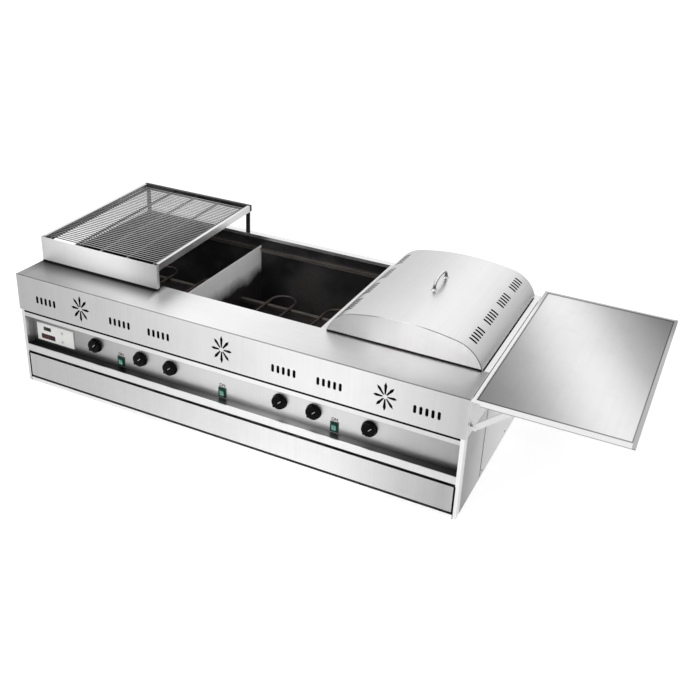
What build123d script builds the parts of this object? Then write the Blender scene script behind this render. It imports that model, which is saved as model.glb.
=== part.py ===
from build123d import *
import os
from math import atan2, cos, degrees, radians, sin, sqrt

os.makedirs("parts", exist_ok=True)

# Cabinet, in millimetres: +X to the right, front at -Y, +Z up, origin at the middle of the base
LENGTH = 1500.0
DEPTH = 700.0
HEIGHT = 385.0
SHEET = 1.5
BASE_SHEET = 2.0
FIT = 0.3
SEAT = 0.1
CUT = 1.0

# Cowl: upper front panel, front deck and the rims round the cooking wells
COWL_HEIGHT = 122.5
COWL_OVERHANG = 5.0
DECK_DEPTH = 158.0
SIDE_RIM = 15.0
REAR_RIM = 26.5
RIM_LIP = 11.0
LIP_TUCK = 6.0

# Vents in the upper front panel
SLOT_WIDTH = 9.0
SLOT_HEIGHT = 25.0
SLOT_PITCH = 17.0
SLOTS_IN_GROUP = 5
SLOT_GROUP_ENDS = (112.0, 397.0, 539.0)
SLOT_DROP = 72.5
STAR_END = 240.5
STAR_SHIFT = 9.0
STAR_PETALS = 8
STAR_WIDTH = 70.0
STAR_HEIGHT = 90.0
STAR_HUB = 14.0
PETAL_ROOT = 4.0
PETAL_WIDTH = 9.0
PETAL_BELLY = 0.7

# Lower front frame
FRONT_SETBACK = 3.0
FRAME_TUCK = 6.0
POST_WIDTH = 11.5
POST_RETURN = 27.0
SILL_HEIGHT = 13.5
SILL_LIP = 15.0
HEADER_HEIGHT = 28.5
RAIL_HEIGHT = 27.0
WINDOW_HEIGHT = 102.0
RECESS = 30.0

# Drip drawer
DRAWER_SIDE_GAP = 4.0
DRAWER_TOP_GAP = 7.0
DRAWER_BOTTOM_GAP = 5.0
DRAWER_HEM = 6.0
TRAY_LENGTH = 560.0
TRAY_DROP = 10.0
TRAY_LIFT = 1.5
TRAY_FLANGE = 10.5
RUNNER_HEIGHT = 20.0
RUNNER_GAP = 1.0
RUNNER_END = 20.0

# Cooking wells
FLOOR_RISE = 14.0
FLOOR_FRONT = 12.0
DRIP_SLOT_LENGTH = 360.0
DRIP_SLOT_WIDTH = 24.0
DRIP_SLOT_PITCH = 90.0
DRIP_SLOTS = 4
DIVIDER_X = 253.5
DIVIDER_WIDTH = 17.0
DIVIDER_FLANGE = 12.0
LEFT_PARTITION_DROP = 36.0
SKEWER_RAIL_DROP = 45.0
SKEWER_RAIL_HEIGHT = 16.0
SKEWER_RAIL_DEPTH = 12.0

# Heating elements: two hairpin tubes in each well
ELEMENT_RADIUS = 4.5
ELEMENT_RISE = 80.0
ELEMENT_BEND = 45.0
ELEMENT_SPACING = 210.0
ELEMENT_REAR_GAP = 60.0
ELEMENT_TAIL = 30.0
SUPPORT_HEIGHT = 12.0
SUPPORT_WIDTH = 15.0
SUPPORT_FROM_REAR = 130.0

# Controls on the recessed panel
KNOB_ENDS = (261.5, 435.0, 545.0)
KNOB_RISE = 50.0
KNOB_SHIFT = -6.0
KNOB_RADIUS = 22.5
KNOB_SKIRT_RADIUS = 24.0
KNOB_SKIRT = 4.0
KNOB_HEIGHT = 20.0
KNOB_GRIP = 7.0
KNOB_GRIP_ANGLE = 45.0
KNOB_GRIP_WIDTH = 12.0
KNOB_GAP = 1.0
STEM_RADIUS = 4.0
STEM_REACH = 24.0
PANEL_HOLE_GAP = 1.0
REGULATOR_WIDTH = 42.0
REGULATOR_DEPTH = 40.0
SWITCH_LEFT_END = 353.0
SWITCH_RIGHT_END = 375.0
SWITCH_MIDDLE_X = -11.0
SWITCH_RISE = 20.0
SWITCH_SIDE_WALL = 1.5
SWITCH_END_WALL = 2.0
SWITCH_DEPTH = 26.0
BEZEL_LIP = 2.5
BEZEL_PROUD = 2.5
ROCKER_WIDTH = 17.4
ROCKER_HEIGHT = 20.8
ROCKER_OUT = 5.5
ROCKER_IN = 8.0
ROCKER_TILT = 8.0
ROCKER_WELL = 14.0
CONTROLLER_END = 20.0
CONTROLLER_GAP = 11.0
CONTROLLER_WIDTH = 148.0
CONTROLLER_HEIGHT = 62.0
CONTROLLER_PLATE = 3.0
CONTROLLER_BORDER = 6.0
CONTROLLER_DEPTH = 30.0
WINDOW_THICKNESS = 1.0
WINDOW_POCKET = 0.7
WINDOWS = ((-32.0, 13.5, 30.0, 13.0), (-30.0, -14.5, 56.0, 17.0))
BUTTON_X = 28.0
BUTTON_LEVELS = (14.0, -17.0)
BUTTON_RADIUS = 4.5
BUTTON_PROUD = 2.0
BUTTON_LENGTH = 6.5
BUTTON_TRAVEL = 1.5
BUTTON_STOP = 1.0

# Lift-off lid over the right-hand well
LID_SHEET = 1.5
LID_GAP = 3.5
LID_FRONT_REST = 6.0
LID_REAR_REST = 16.5
LID_CROWN = 88.0
LID_SHOULDER = 100.0
LID_LEAN = 15.0
LID_SLOT_WIDTH = 8.5
LID_SLOT_LENGTH = 28.0
LID_SLOT_PITCH = 17.5
LID_GROUP_PITCH = 125.0
LID_GROUPS = 4
LID_SLOT_ANGLE = 60.0
LID_SLOT_CUT = 10.0
HANDLE_LENGTH = 98.0
HANDLE_BACK = 19.0
HANDLE_HEIGHT = 30.0
HANDLE_RADIUS = 4.5
HANDLE_CORNER = 14.0
HANDLE_FOOT_RADIUS = 12.0
HANDLE_FOOT = 8.0

# Raised rack over the left-hand well
RACK_INSET = 2.0
RACK_WIDTH = 450.0
RACK_SETBACK = 122.0
RACK_HEIGHT = 84.0
RACK_RISE = 20.0
RACK_RETURN = 12.0
RACK_RAIL_WIDTH = 10.0
RACK_RAIL_HEIGHT = 22.0
RACK_BAR_DEPTH = 12.0
RACK_LEG_WIDTH = 14.0
RACK_LEG_THICK = 6.0
RACK_LEG_INSET = 4.0
RACK_LEG_REST = 10.0
WIRE_RADIUS = 2.0
WIRE_PITCH = 12.0
WIRE_DROP = 7.0
WIRE_MARGIN = 14.0
CROSS_BAR_WIDTH = 6.0
CROSS_BAR_HEIGHT = 6.0
CROSS_BARS = 5

# Folding shelf at the right-hand end
SHELF_WIDTH = 407.0
SHELF_DEPTH = 745.0
SHELF_RIM = 9.0
SHELF_RIM_HEIGHT = 2.0
SHELF_SKIRT = 12.0
SHELF_SKIRT_START = 23.0
HINGE_RADIUS = 6.5
HINGE_PIN_RADIUS = 3.0
HINGE_MARGIN = 30.0
HINGE_KNUCKLES = 9
HINGE_LEAF = 35.0
HINGE_GAP = 0.5
HINGE_PIN_END = 2.0
SHELF_GAP = 2.5
STAY_LENGTH = 130.0
STAY_ANGLE = 40.0
STAY_RADIUS = 8.0
STAY_THICK = 4.0
STAY_END_MARGIN = 26.0
STAY_CLEAR = 1.5
STAY_PIN_RADIUS = 2.5
EAR_THICK = 3.0
EAR_HEIGHT = 22.0

# Side cover and cable gland
COVER_FRONT = -135.0
COVER_MARGIN = 6.0
GLAND_END = 150.0
GLAND_RADIUS = 12.0
GLAND_STEM = 8.0
GLAND_DOME = 9.6
GLAND_OUT = 18.0
GLAND_IN = 12.0

# Planes that the pieces share
xCowl = LENGTH / 2
xBody = xCowl - COWL_OVERHANG
xOpen = xCowl - SIDE_RIM
xWall = xOpen + SHEET
xWindow = xBody + SHEET - POST_WIDTH
xInside = xBody - SHEET
yFront = -DEPTH / 2
yBack = DEPTH / 2
yFrame = yFront + FRONT_SETBACK
yPanel = yFrame + RECESS
yOpenFront = yFront + DECK_DEPTH
yOpenBack = yBack - REAR_RIM
yWallFront = yOpenFront - SHEET
yWallBack = yOpenBack + SHEET
zDeckUnder = HEIGHT - SHEET
zCowl = HEIGHT - COWL_HEIGHT
zFrameTop = zCowl + FRAME_TUCK
zWindow = zFrameTop - HEADER_HEIGHT
zLedge = zWindow - WINDOW_HEIGHT
zRail = zLedge - RAIL_HEIGHT
zFloorUnder = zRail + FLOOR_RISE
zFloor = zFloorUnder + SHEET
zWallTop = HEIGHT - RIM_LIP + LIP_TUCK
zElement = zFloorUnder + ELEMENT_RISE
halfSheet = SHEET / 2
wells = (
    (-xWall, -DIVIDER_X - halfSheet),
    (-DIVIDER_X + halfSheet, DIVIDER_X - halfSheet),
    (DIVIDER_X + halfSheet, xWall),
)


def block(x0, x1, y0, y1, z0, z1):
    """A box between two corners."""
    return Pos((x0 + x1) / 2, (y0 + y1) / 2, (z0 + z1) / 2) * Box(x1 - x0, y1 - y0, z1 - z0)


def rod(radius, start, end):
    """A round bar from one point to another."""
    axis = Vector(*end) - Vector(*start)
    return extrude(Plane(start, z_dir=axis) * Circle(radius), amount=axis.length)


def mirrored(shape):
    """The same piece on the left-hand side."""
    return mirror(shape, about=Plane.YZ)


def save(name, shape):
    """Write one piece, or a group of like pieces, under its own name."""
    solids = shape if isinstance(shape, list) else shape.solids()
    piece = solids[0] if len(solids) == 1 else Compound(children=solids)
    piece.label = name
    export_step(piece, f"parts/{name}.step")


def row(count, pitch, shape):
    """Copies of a flat shape side by side along X, centred."""
    return Sketch() + [Pos((i - (count - 1) / 2) * pitch, 0) * shape for i in range(count)]


def first_solid(shape):
    """The single solid that a construction ends in."""
    return shape.solids()[0]


# Cabinet shell
def cabinet():
    save("base_pan", block(-xInside, xInside, yFrame + SHEET, yBack - SHEET, 0, BASE_SHEET))
    side = block(xInside, xBody, yFrame + SHEET, yBack - SHEET, 0, zDeckUnder)
    save("right_side_panel", side)
    save("left_side_panel", mirrored(side))
    cover = block(xBody, xBody + SHEET, COVER_FRONT, yBack - SHEET, COVER_MARGIN, zCowl - COVER_MARGIN)
    save("right_side_cover", cover)
    back = block(SHEET - xCowl, xCowl - SHEET, yBack - SHEET, yBack, 0, zDeckUnder)
    x = xCowl - GLAND_END
    z = (BASE_SHEET + zFloorUnder) / 2
    outside = (x, yBack, z)
    inside = (x, yBack - SHEET - GLAND_IN, z)
    end = (x, yBack + GLAND_OUT, z)
    save("back_panel", back - rod(GLAND_STEM + FIT, inside, end))
    nut = extrude(Plane(outside, z_dir=(0, 1, 0)) * RegularPolygon(GLAND_RADIUS, 6), amount=GLAND_OUT / 2)
    save("cable_gland", nut + rod(GLAND_DOME, outside, end) + rod(GLAND_STEM, inside, outside))


# Cowl
def slot_group(x):
    """Upright pill slots side by side."""
    slots = row(SLOTS_IN_GROUP, SLOT_PITCH, SlotOverall(SLOT_HEIGHT, SLOT_WIDTH, rotation=90))
    return Pos(x, HEIGHT - SLOT_DROP) * slots


def star(x):
    """Eight narrow pointed petals round an oval, with a plain hub between them."""
    petals = []
    for i in range(STAR_PETALS):
        angle = 360 / STAR_PETALS * i
        along = Vector(STAR_WIDTH / 2 * cos(radians(angle)), STAR_HEIGHT / 2 * sin(radians(angle)))
        unit = along.normalized()
        across = Vector(-unit.Y, unit.X)
        inner = unit * (STAR_HUB / 2)
        belly = inner + (along - inner) * PETAL_BELLY
        root = across * (PETAL_ROOT / 2)
        wide = across * (PETAL_WIDTH / 2)
        outline = Polyline(inner - root, belly - wide, along, belly + wide, inner + root, close=True)
        petals.append(make_face(outline))
    return Pos(x, zCowl + COWL_HEIGHT / 2) * (Sketch() + petals)


def cowl():
    front = block(-xCowl, xCowl, yFront, yFront + SHEET, zCowl, zDeckUnder)
    face = Plane((0, yFront + SHEET + CUT, 0), x_dir=(1, 0, 0), z_dir=(0, -1, 0))
    depth = SHEET + 2 * CUT
    for end in SLOT_GROUP_ENDS:
        x = xCowl - end
        front -= extrude(face * slot_group(x), amount=depth)
        front -= extrude(face * slot_group(-x), amount=depth)
    for x in (STAR_END - xCowl, 0, xCowl - STAR_END):
        front -= extrude(face * star(x + STAR_SHIFT), amount=depth)
    save("upper_front_panel", front)
    deck = block(-xCowl, xCowl, yFront, yOpenFront, zDeckUnder, HEIGHT)
    deck += block(-xOpen, xOpen, yOpenFront - SHEET, yOpenFront, HEIGHT - RIM_LIP, zDeckUnder)
    save("front_deck", deck)
    side = block(xCowl - SHEET, xCowl, yFront + SHEET, yBack, zCowl, zDeckUnder)
    side += block(xOpen, xCowl, yOpenFront, yBack, zDeckUnder, HEIGHT)
    side += block(xOpen, xWall, yOpenFront, yOpenBack, HEIGHT - RIM_LIP, zDeckUnder)
    save("right_cowl_side", side)
    save("left_cowl_side", mirrored(side))
    rear = block(-xOpen, xOpen, yOpenBack, yBack, zDeckUnder, HEIGHT)
    rear += block(-xOpen, xOpen, yOpenBack, yWallBack, HEIGHT - RIM_LIP, zDeckUnder)
    save("rear_top_rail", rear)


# Cooking wells
def wells_and_walls():
    floor = block(-xInside, xInside, yWallFront - FLOOR_FRONT, yBack - SHEET, zFloorUnder, zFloor)
    mid_y = (yWallFront + yWallBack) / 2
    drip_slot = SlotOverall(DRIP_SLOT_LENGTH, DRIP_SLOT_WIDTH, rotation=90)
    slots = extrude(row(DRIP_SLOTS, DRIP_SLOT_PITCH, drip_slot), amount=SHEET + 2 * CUT)
    for x0, x1 in wells:
        floor -= Pos((x0 + x1) / 2, mid_y, zFloorUnder - CUT) * slots
    save("firebox_floor", floor)
    end = xWall + SHEET
    front = block(-end, end, yWallFront - SHEET, yWallFront, zFloor, zWallTop)
    bore = ELEMENT_RADIUS + FIT
    y0, y1 = yWallFront - SHEET - CUT, yWallFront + CUT
    for x, _ in element_legs():
        front -= rod(bore, (x, y0, zElement), (x, y1, zElement))
    save("firebox_front_wall", front)
    save("firebox_back_wall", block(-end, end, yWallBack, yWallBack + SHEET, zFloor, zWallTop))
    side = block(xWall, end, yWallFront, yWallBack, zFloor, zWallTop)
    save("firebox_end_walls", [first_solid(mirrored(side)), first_solid(side)])
    x0, x1 = -DIVIDER_X - halfSheet, -DIVIDER_X + halfSheet
    save("left_partition", block(x0, x1, yWallFront, yWallBack, zFloor, HEIGHT - LEFT_PARTITION_DROP))
    x0, x1 = DIVIDER_X - DIVIDER_WIDTH / 2, DIVIDER_X + DIVIDER_WIDTH / 2
    capped = block(x0, x1, yOpenFront, yOpenBack, HEIGHT - DIVIDER_FLANGE, HEIGHT)
    capped -= block(x0 + SHEET, x1 - SHEET, yOpenFront, yOpenBack, HEIGHT - DIVIDER_FLANGE, zDeckUnder)
    x0, x1 = DIVIDER_X - halfSheet, DIVIDER_X + halfSheet
    capped += block(x0, x1, yOpenFront, yOpenBack, zFloor, zDeckUnder)
    save("right_partition", capped)
    top = HEIGHT - SKEWER_RAIL_DROP
    bottom = top - SKEWER_RAIL_HEIGHT
    rails = []
    for x0, x1 in wells:
        rear = block(x0, x1, yWallBack - SHEET, yWallBack, bottom, top)
        rear += block(x0, x1, yWallBack - SKEWER_RAIL_DEPTH, yWallBack - SHEET, top - SHEET, top)
        front = block(x0, x1, yWallFront, yWallFront + SHEET, bottom, top)
        front += block(x0, x1, yWallFront + SHEET, yWallFront + SKEWER_RAIL_DEPTH, top - SHEET, top)
        rails += [first_solid(front), first_solid(rear)]
    save("skewer_rails", rails)


def element_legs():
    """Middle of each leg of each hairpin along X, with the middle of its own hairpin."""
    legs = []
    for x0, x1 in wells:
        for side in (-1, 1):
            middle = (x0 + x1) / 2 + side * ELEMENT_SPACING / 2
            legs += [(middle - ELEMENT_BEND, middle), (middle + ELEMENT_BEND, middle)]
    return legs


def heating():
    y0 = yWallFront - ELEMENT_TAIL
    y1 = yWallBack - ELEMENT_REAR_GAP - ELEMENT_BEND
    hairpins = []
    for middle in sorted({m for _, m in element_legs()}):
        left, right = middle - ELEMENT_BEND, middle + ELEMENT_BEND
        path = Line((left, y0, zElement), (left, y1, zElement))
        path += ThreePointArc((left, y1, zElement), (middle, y1 + ELEMENT_BEND, zElement),
                              (right, y1, zElement))
        path += Line((right, y1, zElement), (right, y0, zElement))
        section = Plane((left, y0, zElement), z_dir=(0, 1, 0)) * Circle(ELEMENT_RADIUS)
        hairpins.append(first_solid(sweep(section, path=path)))
    save("heating_elements", hairpins)
    top = zElement - ELEMENT_RADIUS - SEAT
    y2 = yWallBack - SUPPORT_FROM_REAR
    bars = [block(x0, x1, y2 - SUPPORT_WIDTH, y2, top - SUPPORT_HEIGHT, top) for x0, x1 in wells]
    save("element_supports", [first_solid(bar) for bar in bars])


# Lower front frame
def front_frame():
    post = block(xWindow, xBody + SHEET, yFrame, yFrame + SHEET, 0, zFrameTop)
    post += block(xBody, xBody + SHEET, yFrame + SHEET, yFrame + POST_RETURN, 0, zFrameTop)
    post += block(xWindow, xWindow + SHEET, yFrame + SHEET, yPanel, BASE_SHEET, zFrameTop)
    save("right_front_post", post)
    save("left_front_post", mirrored(post))
    header = block(-xWindow, xWindow, yFrame, yFrame + SHEET, zWindow, zFrameTop)
    header += block(-xWindow, xWindow, yFrame + SHEET, yPanel, zWindow, zWindow + SHEET)
    save("control_header", header)
    rail = block(-xWindow, xWindow, yFrame, yFrame + SHEET, zRail, zLedge)
    rail += block(-xWindow, xWindow, yFrame + SHEET, yPanel + SHEET, zLedge - SHEET, zLedge)
    save("drawer_rail", rail)
    sill = block(-xWindow, xWindow, yFrame, yFrame + SHEET, 0, SILL_HEIGHT)
    sill += block(-xWindow, xWindow, yFrame + SHEET, yFrame + SILL_LIP, SILL_HEIGHT - SHEET, SILL_HEIGHT)
    save("front_sill", sill)


# Drip drawer and the runners that its flanges slide on
def drawer():
    bottom = SILL_HEIGHT + DRAWER_BOTTOM_GAP
    top = zRail - DRAWER_TOP_GAP
    half = xWindow - DRAWER_SIDE_GAP
    front = block(-half, half, yFrame, yFrame + SHEET, bottom, top)
    front += block(-half, half, yFrame + SHEET, yFrame + DRAWER_HEM, top - SHEET, top)
    save("drawer_front", front)
    y0 = yFrame + SHEET
    y1 = y0 + TRAY_LENGTH
    tray_x = half - TRAY_FLANGE
    z0 = bottom + TRAY_LIFT
    z1 = top - TRAY_DROP
    base = z0 + SHEET
    save("drawer_floor", block(-tray_x, tray_x, y0, y1, z0, base))
    ends = [block(SHEET - tray_x, tray_x - SHEET, y, y + SHEET, base, z1) for y in (y0, y1 - SHEET)]
    save("drawer_ends", [first_solid(end) for end in ends])
    side = block(tray_x - SHEET, tray_x, y0, y1, base, z1)
    side += block(tray_x, half, y0, y1, z1 - SHEET, z1)
    save("drawer_sides", [first_solid(mirrored(side)), first_solid(side)])
    seat = z1 - SHEET - FIT
    y2 = yBack - RUNNER_END
    runner = block(tray_x + RUNNER_GAP, xInside, yPanel, y2, seat - SHEET, seat)
    runner += block(xInside - SHEET, xInside, yPanel, y2, seat - SHEET, seat + RUNNER_HEIGHT)
    save("drawer_runners", [first_solid(mirrored(runner)), first_solid(runner)])


# Controls
knobOut = [xWindow - end for end in KNOB_ENDS]
knobX = sorted([x + KNOB_SHIFT for x in knobOut] + [KNOB_SHIFT - x for x in knobOut])
knobZ = zLedge + KNOB_RISE
switchX = (SWITCH_LEFT_END - xWindow, SWITCH_MIDDLE_X, xWindow - SWITCH_RIGHT_END)
switchZ = zLedge + SWITCH_RISE
rockerHalf = ROCKER_HEIGHT / 2
rockerSweep = rockerHalf * cos(radians(ROCKER_TILT)) + ROCKER_IN * sin(radians(ROCKER_TILT)) + FIT
switchHalfX = ROCKER_WIDTH / 2 + FIT + SWITCH_SIDE_WALL
switchHalfZ = rockerSweep + SWITCH_END_WALL
controllerX = CONTROLLER_END + CONTROLLER_WIDTH / 2 - xWindow
controllerZ = zLedge + CONTROLLER_GAP + CONTROLLER_HEIGHT / 2
buttonWell = BUTTON_LENGTH - BUTTON_PROUD + BUTTON_TRAVEL + BUTTON_STOP


def controls():
    panel = block(-xWindow - SHEET, xWindow + SHEET, yPanel, yPanel + SHEET, zLedge, zWindow + SHEET)
    regulators = []
    y_in = yPanel + SHEET
    for i, x in enumerate(knobX):
        hole = STEM_RADIUS + PANEL_HOLE_GAP
        panel -= rod(hole, (x, yPanel - CUT, knobZ), (x, y_in + CUT, knobZ))
        half = REGULATOR_WIDTH / 2
        case = block(x - half, x + half, y_in, y_in + REGULATOR_DEPTH, knobZ - half, knobZ + half)
        bore = STEM_RADIUS + SEAT
        case -= rod(bore, (x, y_in - CUT, knobZ), (x, y_in + STEM_REACH + CUT, knobZ))
        regulators.append(first_solid(case))
        save(f"knob_{i + 1}", knob(x))
    save("regulators", regulators)
    housings = []
    for i, x in enumerate(switchX):
        panel -= block(*switch_span(x, FIT), yPanel - CUT, y_in + CUT, *switch_rise(FIT))
        housings.append(first_solid(switch_housing(x)))
        save(f"rocker_{i + 1}", rocker(x))
    save("switch_housings", housings)
    half_x = CONTROLLER_WIDTH / 2 - CONTROLLER_BORDER
    half_z = CONTROLLER_HEIGHT / 2 - CONTROLLER_BORDER
    panel -= block(controllerX - half_x - FIT, controllerX + half_x + FIT, yPanel - CUT, y_in + CUT,
                   controllerZ - half_z - FIT, controllerZ + half_z + FIT)
    save("control_panel", panel)
    controller(half_x, half_z)


def knob(x):
    """Skirted round knob with a grip bar across it and a stem that turns in the regulator."""
    back = yPanel - KNOB_GAP
    front = back - KNOB_HEIGHT
    flat = front + KNOB_GRIP
    skirt = rod(KNOB_SKIRT_RADIUS, (x, back, knobZ), (x, back - KNOB_SKIRT, knobZ))
    drum = rod(KNOB_RADIUS, (x, back, knobZ), (x, flat, knobZ))
    half = KNOB_GRIP_WIDTH / 2
    bar = block(x - half, x + half, front, flat, knobZ - KNOB_RADIUS, knobZ + KNOB_RADIUS)
    bar &= rod(KNOB_RADIUS, (x, front, knobZ), (x, flat, knobZ))
    bar = bar.rotate(Axis((x, back, knobZ), (0, 1, 0)), KNOB_GRIP_ANGLE)
    stem = rod(STEM_RADIUS, (x, back, knobZ), (x, yPanel + SHEET + STEM_REACH, knobZ))
    return skirt + drum + bar + stem


def switch_span(x, gap):
    return x - switchHalfX - gap, x + switchHalfX + gap


def switch_rise(gap):
    return switchZ - switchHalfZ - gap, switchZ + switchHalfZ + gap


def switch_housing(x):
    """Body behind the panel with a bezel in front of it, and a well for the rocker."""
    body = block(*switch_span(x, 0), yPanel, yPanel + SWITCH_DEPTH, *switch_rise(0))
    body += block(*switch_span(x, BEZEL_LIP), yPanel - BEZEL_PROUD, yPanel, *switch_rise(BEZEL_LIP))
    half_x = ROCKER_WIDTH / 2 + FIT
    body -= block(x - half_x, x + half_x, yPanel - BEZEL_PROUD - CUT, yPanel + ROCKER_WELL,
                  switchZ - rockerSweep, switchZ + rockerSweep)
    return body


def rocker(x):
    """Rocker with a shallow valley across its face, resting tilted on its lower half."""
    edge = ROCKER_OUT + rockerHalf * sin(radians(ROCKER_TILT))
    rear = [(ROCKER_IN, rockerHalf), (ROCKER_IN, -rockerHalf)]
    corners = [(-ROCKER_OUT, 0), (-edge, rockerHalf), *rear, (-edge, -rockerHalf)]
    outline = Polyline(*corners, close=True)
    side = Plane((x - ROCKER_WIDTH / 2, 0, 0), x_dir=(0, 1, 0), z_dir=(1, 0, 0))
    body = extrude(side * make_face(outline), amount=ROCKER_WIDTH)
    return Pos(0, yPanel, switchZ) * (Rot(ROCKER_TILT, 0, 0) * body)


def controller(half_x, half_z):
    """Temperature controller: moulded body with a front plate, two windows and two push buttons."""
    x, z = controllerX, controllerZ
    plate = yPanel - CONTROLLER_PLATE
    body = block(x - CONTROLLER_WIDTH / 2, x + CONTROLLER_WIDTH / 2, plate, yPanel,
                 z - CONTROLLER_HEIGHT / 2, z + CONTROLLER_HEIGHT / 2)
    body += block(x - half_x, x + half_x, yPanel, yPanel + CONTROLLER_DEPTH, z - half_z, z + half_z)
    windows = []
    for dx, dz, width, height in WINDOWS:
        span = (x + dx - width / 2, x + dx + width / 2)
        rise = (z + dz - height / 2, z + dz + height / 2)
        body -= block(*span, plate - CUT, plate + WINDOW_POCKET, *rise)
        windows.append(first_solid(block(*span, plate + WINDOW_POCKET - WINDOW_THICKNESS,
                                         plate + WINDOW_POCKET, *rise)))
    for i, dz in enumerate(BUTTON_LEVELS):
        centre = (x + BUTTON_X, plate - CUT, z + dz)
        body -= rod(BUTTON_RADIUS + FIT, centre, (x + BUTTON_X, plate + buttonWell, z + dz))
        cap = rod(BUTTON_RADIUS, (x + BUTTON_X, plate - BUTTON_PROUD, z + dz),
                  (x + BUTTON_X, plate - BUTTON_PROUD + BUTTON_LENGTH, z + dz))
        save(f"set_button_{i + 1}", cap)
    save("controller_body", body)
    save("display_windows", windows)


# Lid
lidX0 = DIVIDER_X + DIVIDER_WIDTH / 2 + LID_GAP
lidX1 = xOpen - LID_GAP
lidMiddle = (lidX0 + lidX1) / 2
lidHalf = (lidX1 - lidX0) / 2
lidY0 = yOpenFront - LID_FRONT_REST
lidY1 = yOpenBack + LID_REAR_REST
shoulderX = lidHalf - LID_SHOULDER * cos(radians(LID_LEAN))
shoulderZ = -LID_SHOULDER * sin(radians(LID_LEAN))


def arch(inset):
    """Three-centre arch, a flat crown between two round shoulders, drawn inside the outer one by inset."""
    drop = shoulderZ - LID_CROWN
    crown = (LID_SHOULDER**2 - shoulderX**2 - drop**2) / (2 * (drop + LID_SHOULDER))
    cz = LID_CROWN - crown
    turn = atan2(shoulderZ - cz, shoulderX)
    shoulder = LID_SHOULDER - inset
    radius = crown - inset
    foot_turn = atan2(-shoulderZ, sqrt(shoulder**2 - shoulderZ**2))
    middle_turn = (turn + foot_turn) / 2
    foot = (shoulderX + shoulder * cos(foot_turn), 0)
    middle = (shoulderX + shoulder * cos(middle_turn), shoulderZ + shoulder * sin(middle_turn))
    join = (radius * cos(turn), cz + radius * sin(turn))
    left = [(-px, pz) for px, pz in (foot, middle, join)]
    lines = ThreePointArc(*left)
    lines += ThreePointArc(left[2], (0, LID_CROWN - inset), join)
    lines += ThreePointArc(join, middle, foot)
    lines += Line(foot, left[0])
    return make_face(lines)


def lid_section(y):
    return Plane((lidMiddle, y, HEIGHT), x_dir=(1, 0, 0), z_dir=(0, -1, 0))


def lid():
    outer = extrude(lid_section(lidY1) * arch(0), amount=lidY1 - lidY0)
    inner = extrude(lid_section(lidY1 + CUT) * arch(LID_SHEET), amount=lidY1 - lidY0 + 2 * CUT)
    shell = outer - inner
    turn = radians(LID_SLOT_ANGLE)
    slot = SlotOverall(LID_SLOT_LENGTH, LID_SLOT_WIDTH, rotation=90)
    slots = row(SLOTS_IN_GROUP, LID_SLOT_PITCH, slot)
    middle_y = (lidY0 + lidY1) / 2
    for side in (-1, 1):
        at_x = lidMiddle + side * (shoulderX + LID_SHOULDER * cos(turn))
        at_z = HEIGHT + shoulderZ + LID_SHOULDER * sin(turn)
        for i in range(LID_GROUPS):
            y = middle_y + (i - (LID_GROUPS - 1) / 2) * LID_GROUP_PITCH
            face = Plane((at_x, y, at_z), x_dir=(0, 1, 0), z_dir=(side * cos(turn), 0, sin(turn)))
            shell -= extrude(face * slots, amount=LID_SLOT_CUT, both=True)
    save("lid_shell", shell)
    plate = extrude(lid_section(lidY0 + LID_SHEET) * arch(LID_SHEET), amount=LID_SHEET)
    save("lid_front_plate", plate)
    save("lid_back_plate", Pos(0, lidY1 - lidY0 - LID_SHEET, 0) * plate)
    base = HEIGHT + LID_CROWN
    half = HANDLE_LENGTH / 2
    points = [(0, -half, 0), (0, -half, HANDLE_HEIGHT), (0, half, HANDLE_HEIGHT), (0, half, 0)]
    path = FilletPolyline(*points, radius=HANDLE_CORNER)
    bow = sweep(Pos(0, -half, 0) * Circle(HANDLE_RADIUS), path=path)
    for y in (-half, half):
        bow += Pos(0, y, HANDLE_FOOT / 2) * Cone(HANDLE_FOOT_RADIUS, HANDLE_RADIUS, HANDLE_FOOT)
    save("lid_handle", Pos(lidMiddle, middle_y + HANDLE_BACK, base) * bow)


# Raised rack, built level and then tilted up to its rear legs
rackX0 = RACK_INSET - xCowl
rackX1 = rackX0 + RACK_WIDTH
rackY0 = yFront + RACK_SETBACK
rackRear = yOpenBack + RACK_LEG_REST
rackTilt = atan2(RACK_RISE, rackRear - rackY0)
rackTop = HEIGHT + RACK_HEIGHT


def tilted(shape):
    return Pos(0, rackY0, rackTop) * (Rot(degrees(rackTilt), 0, 0) * shape)


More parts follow.
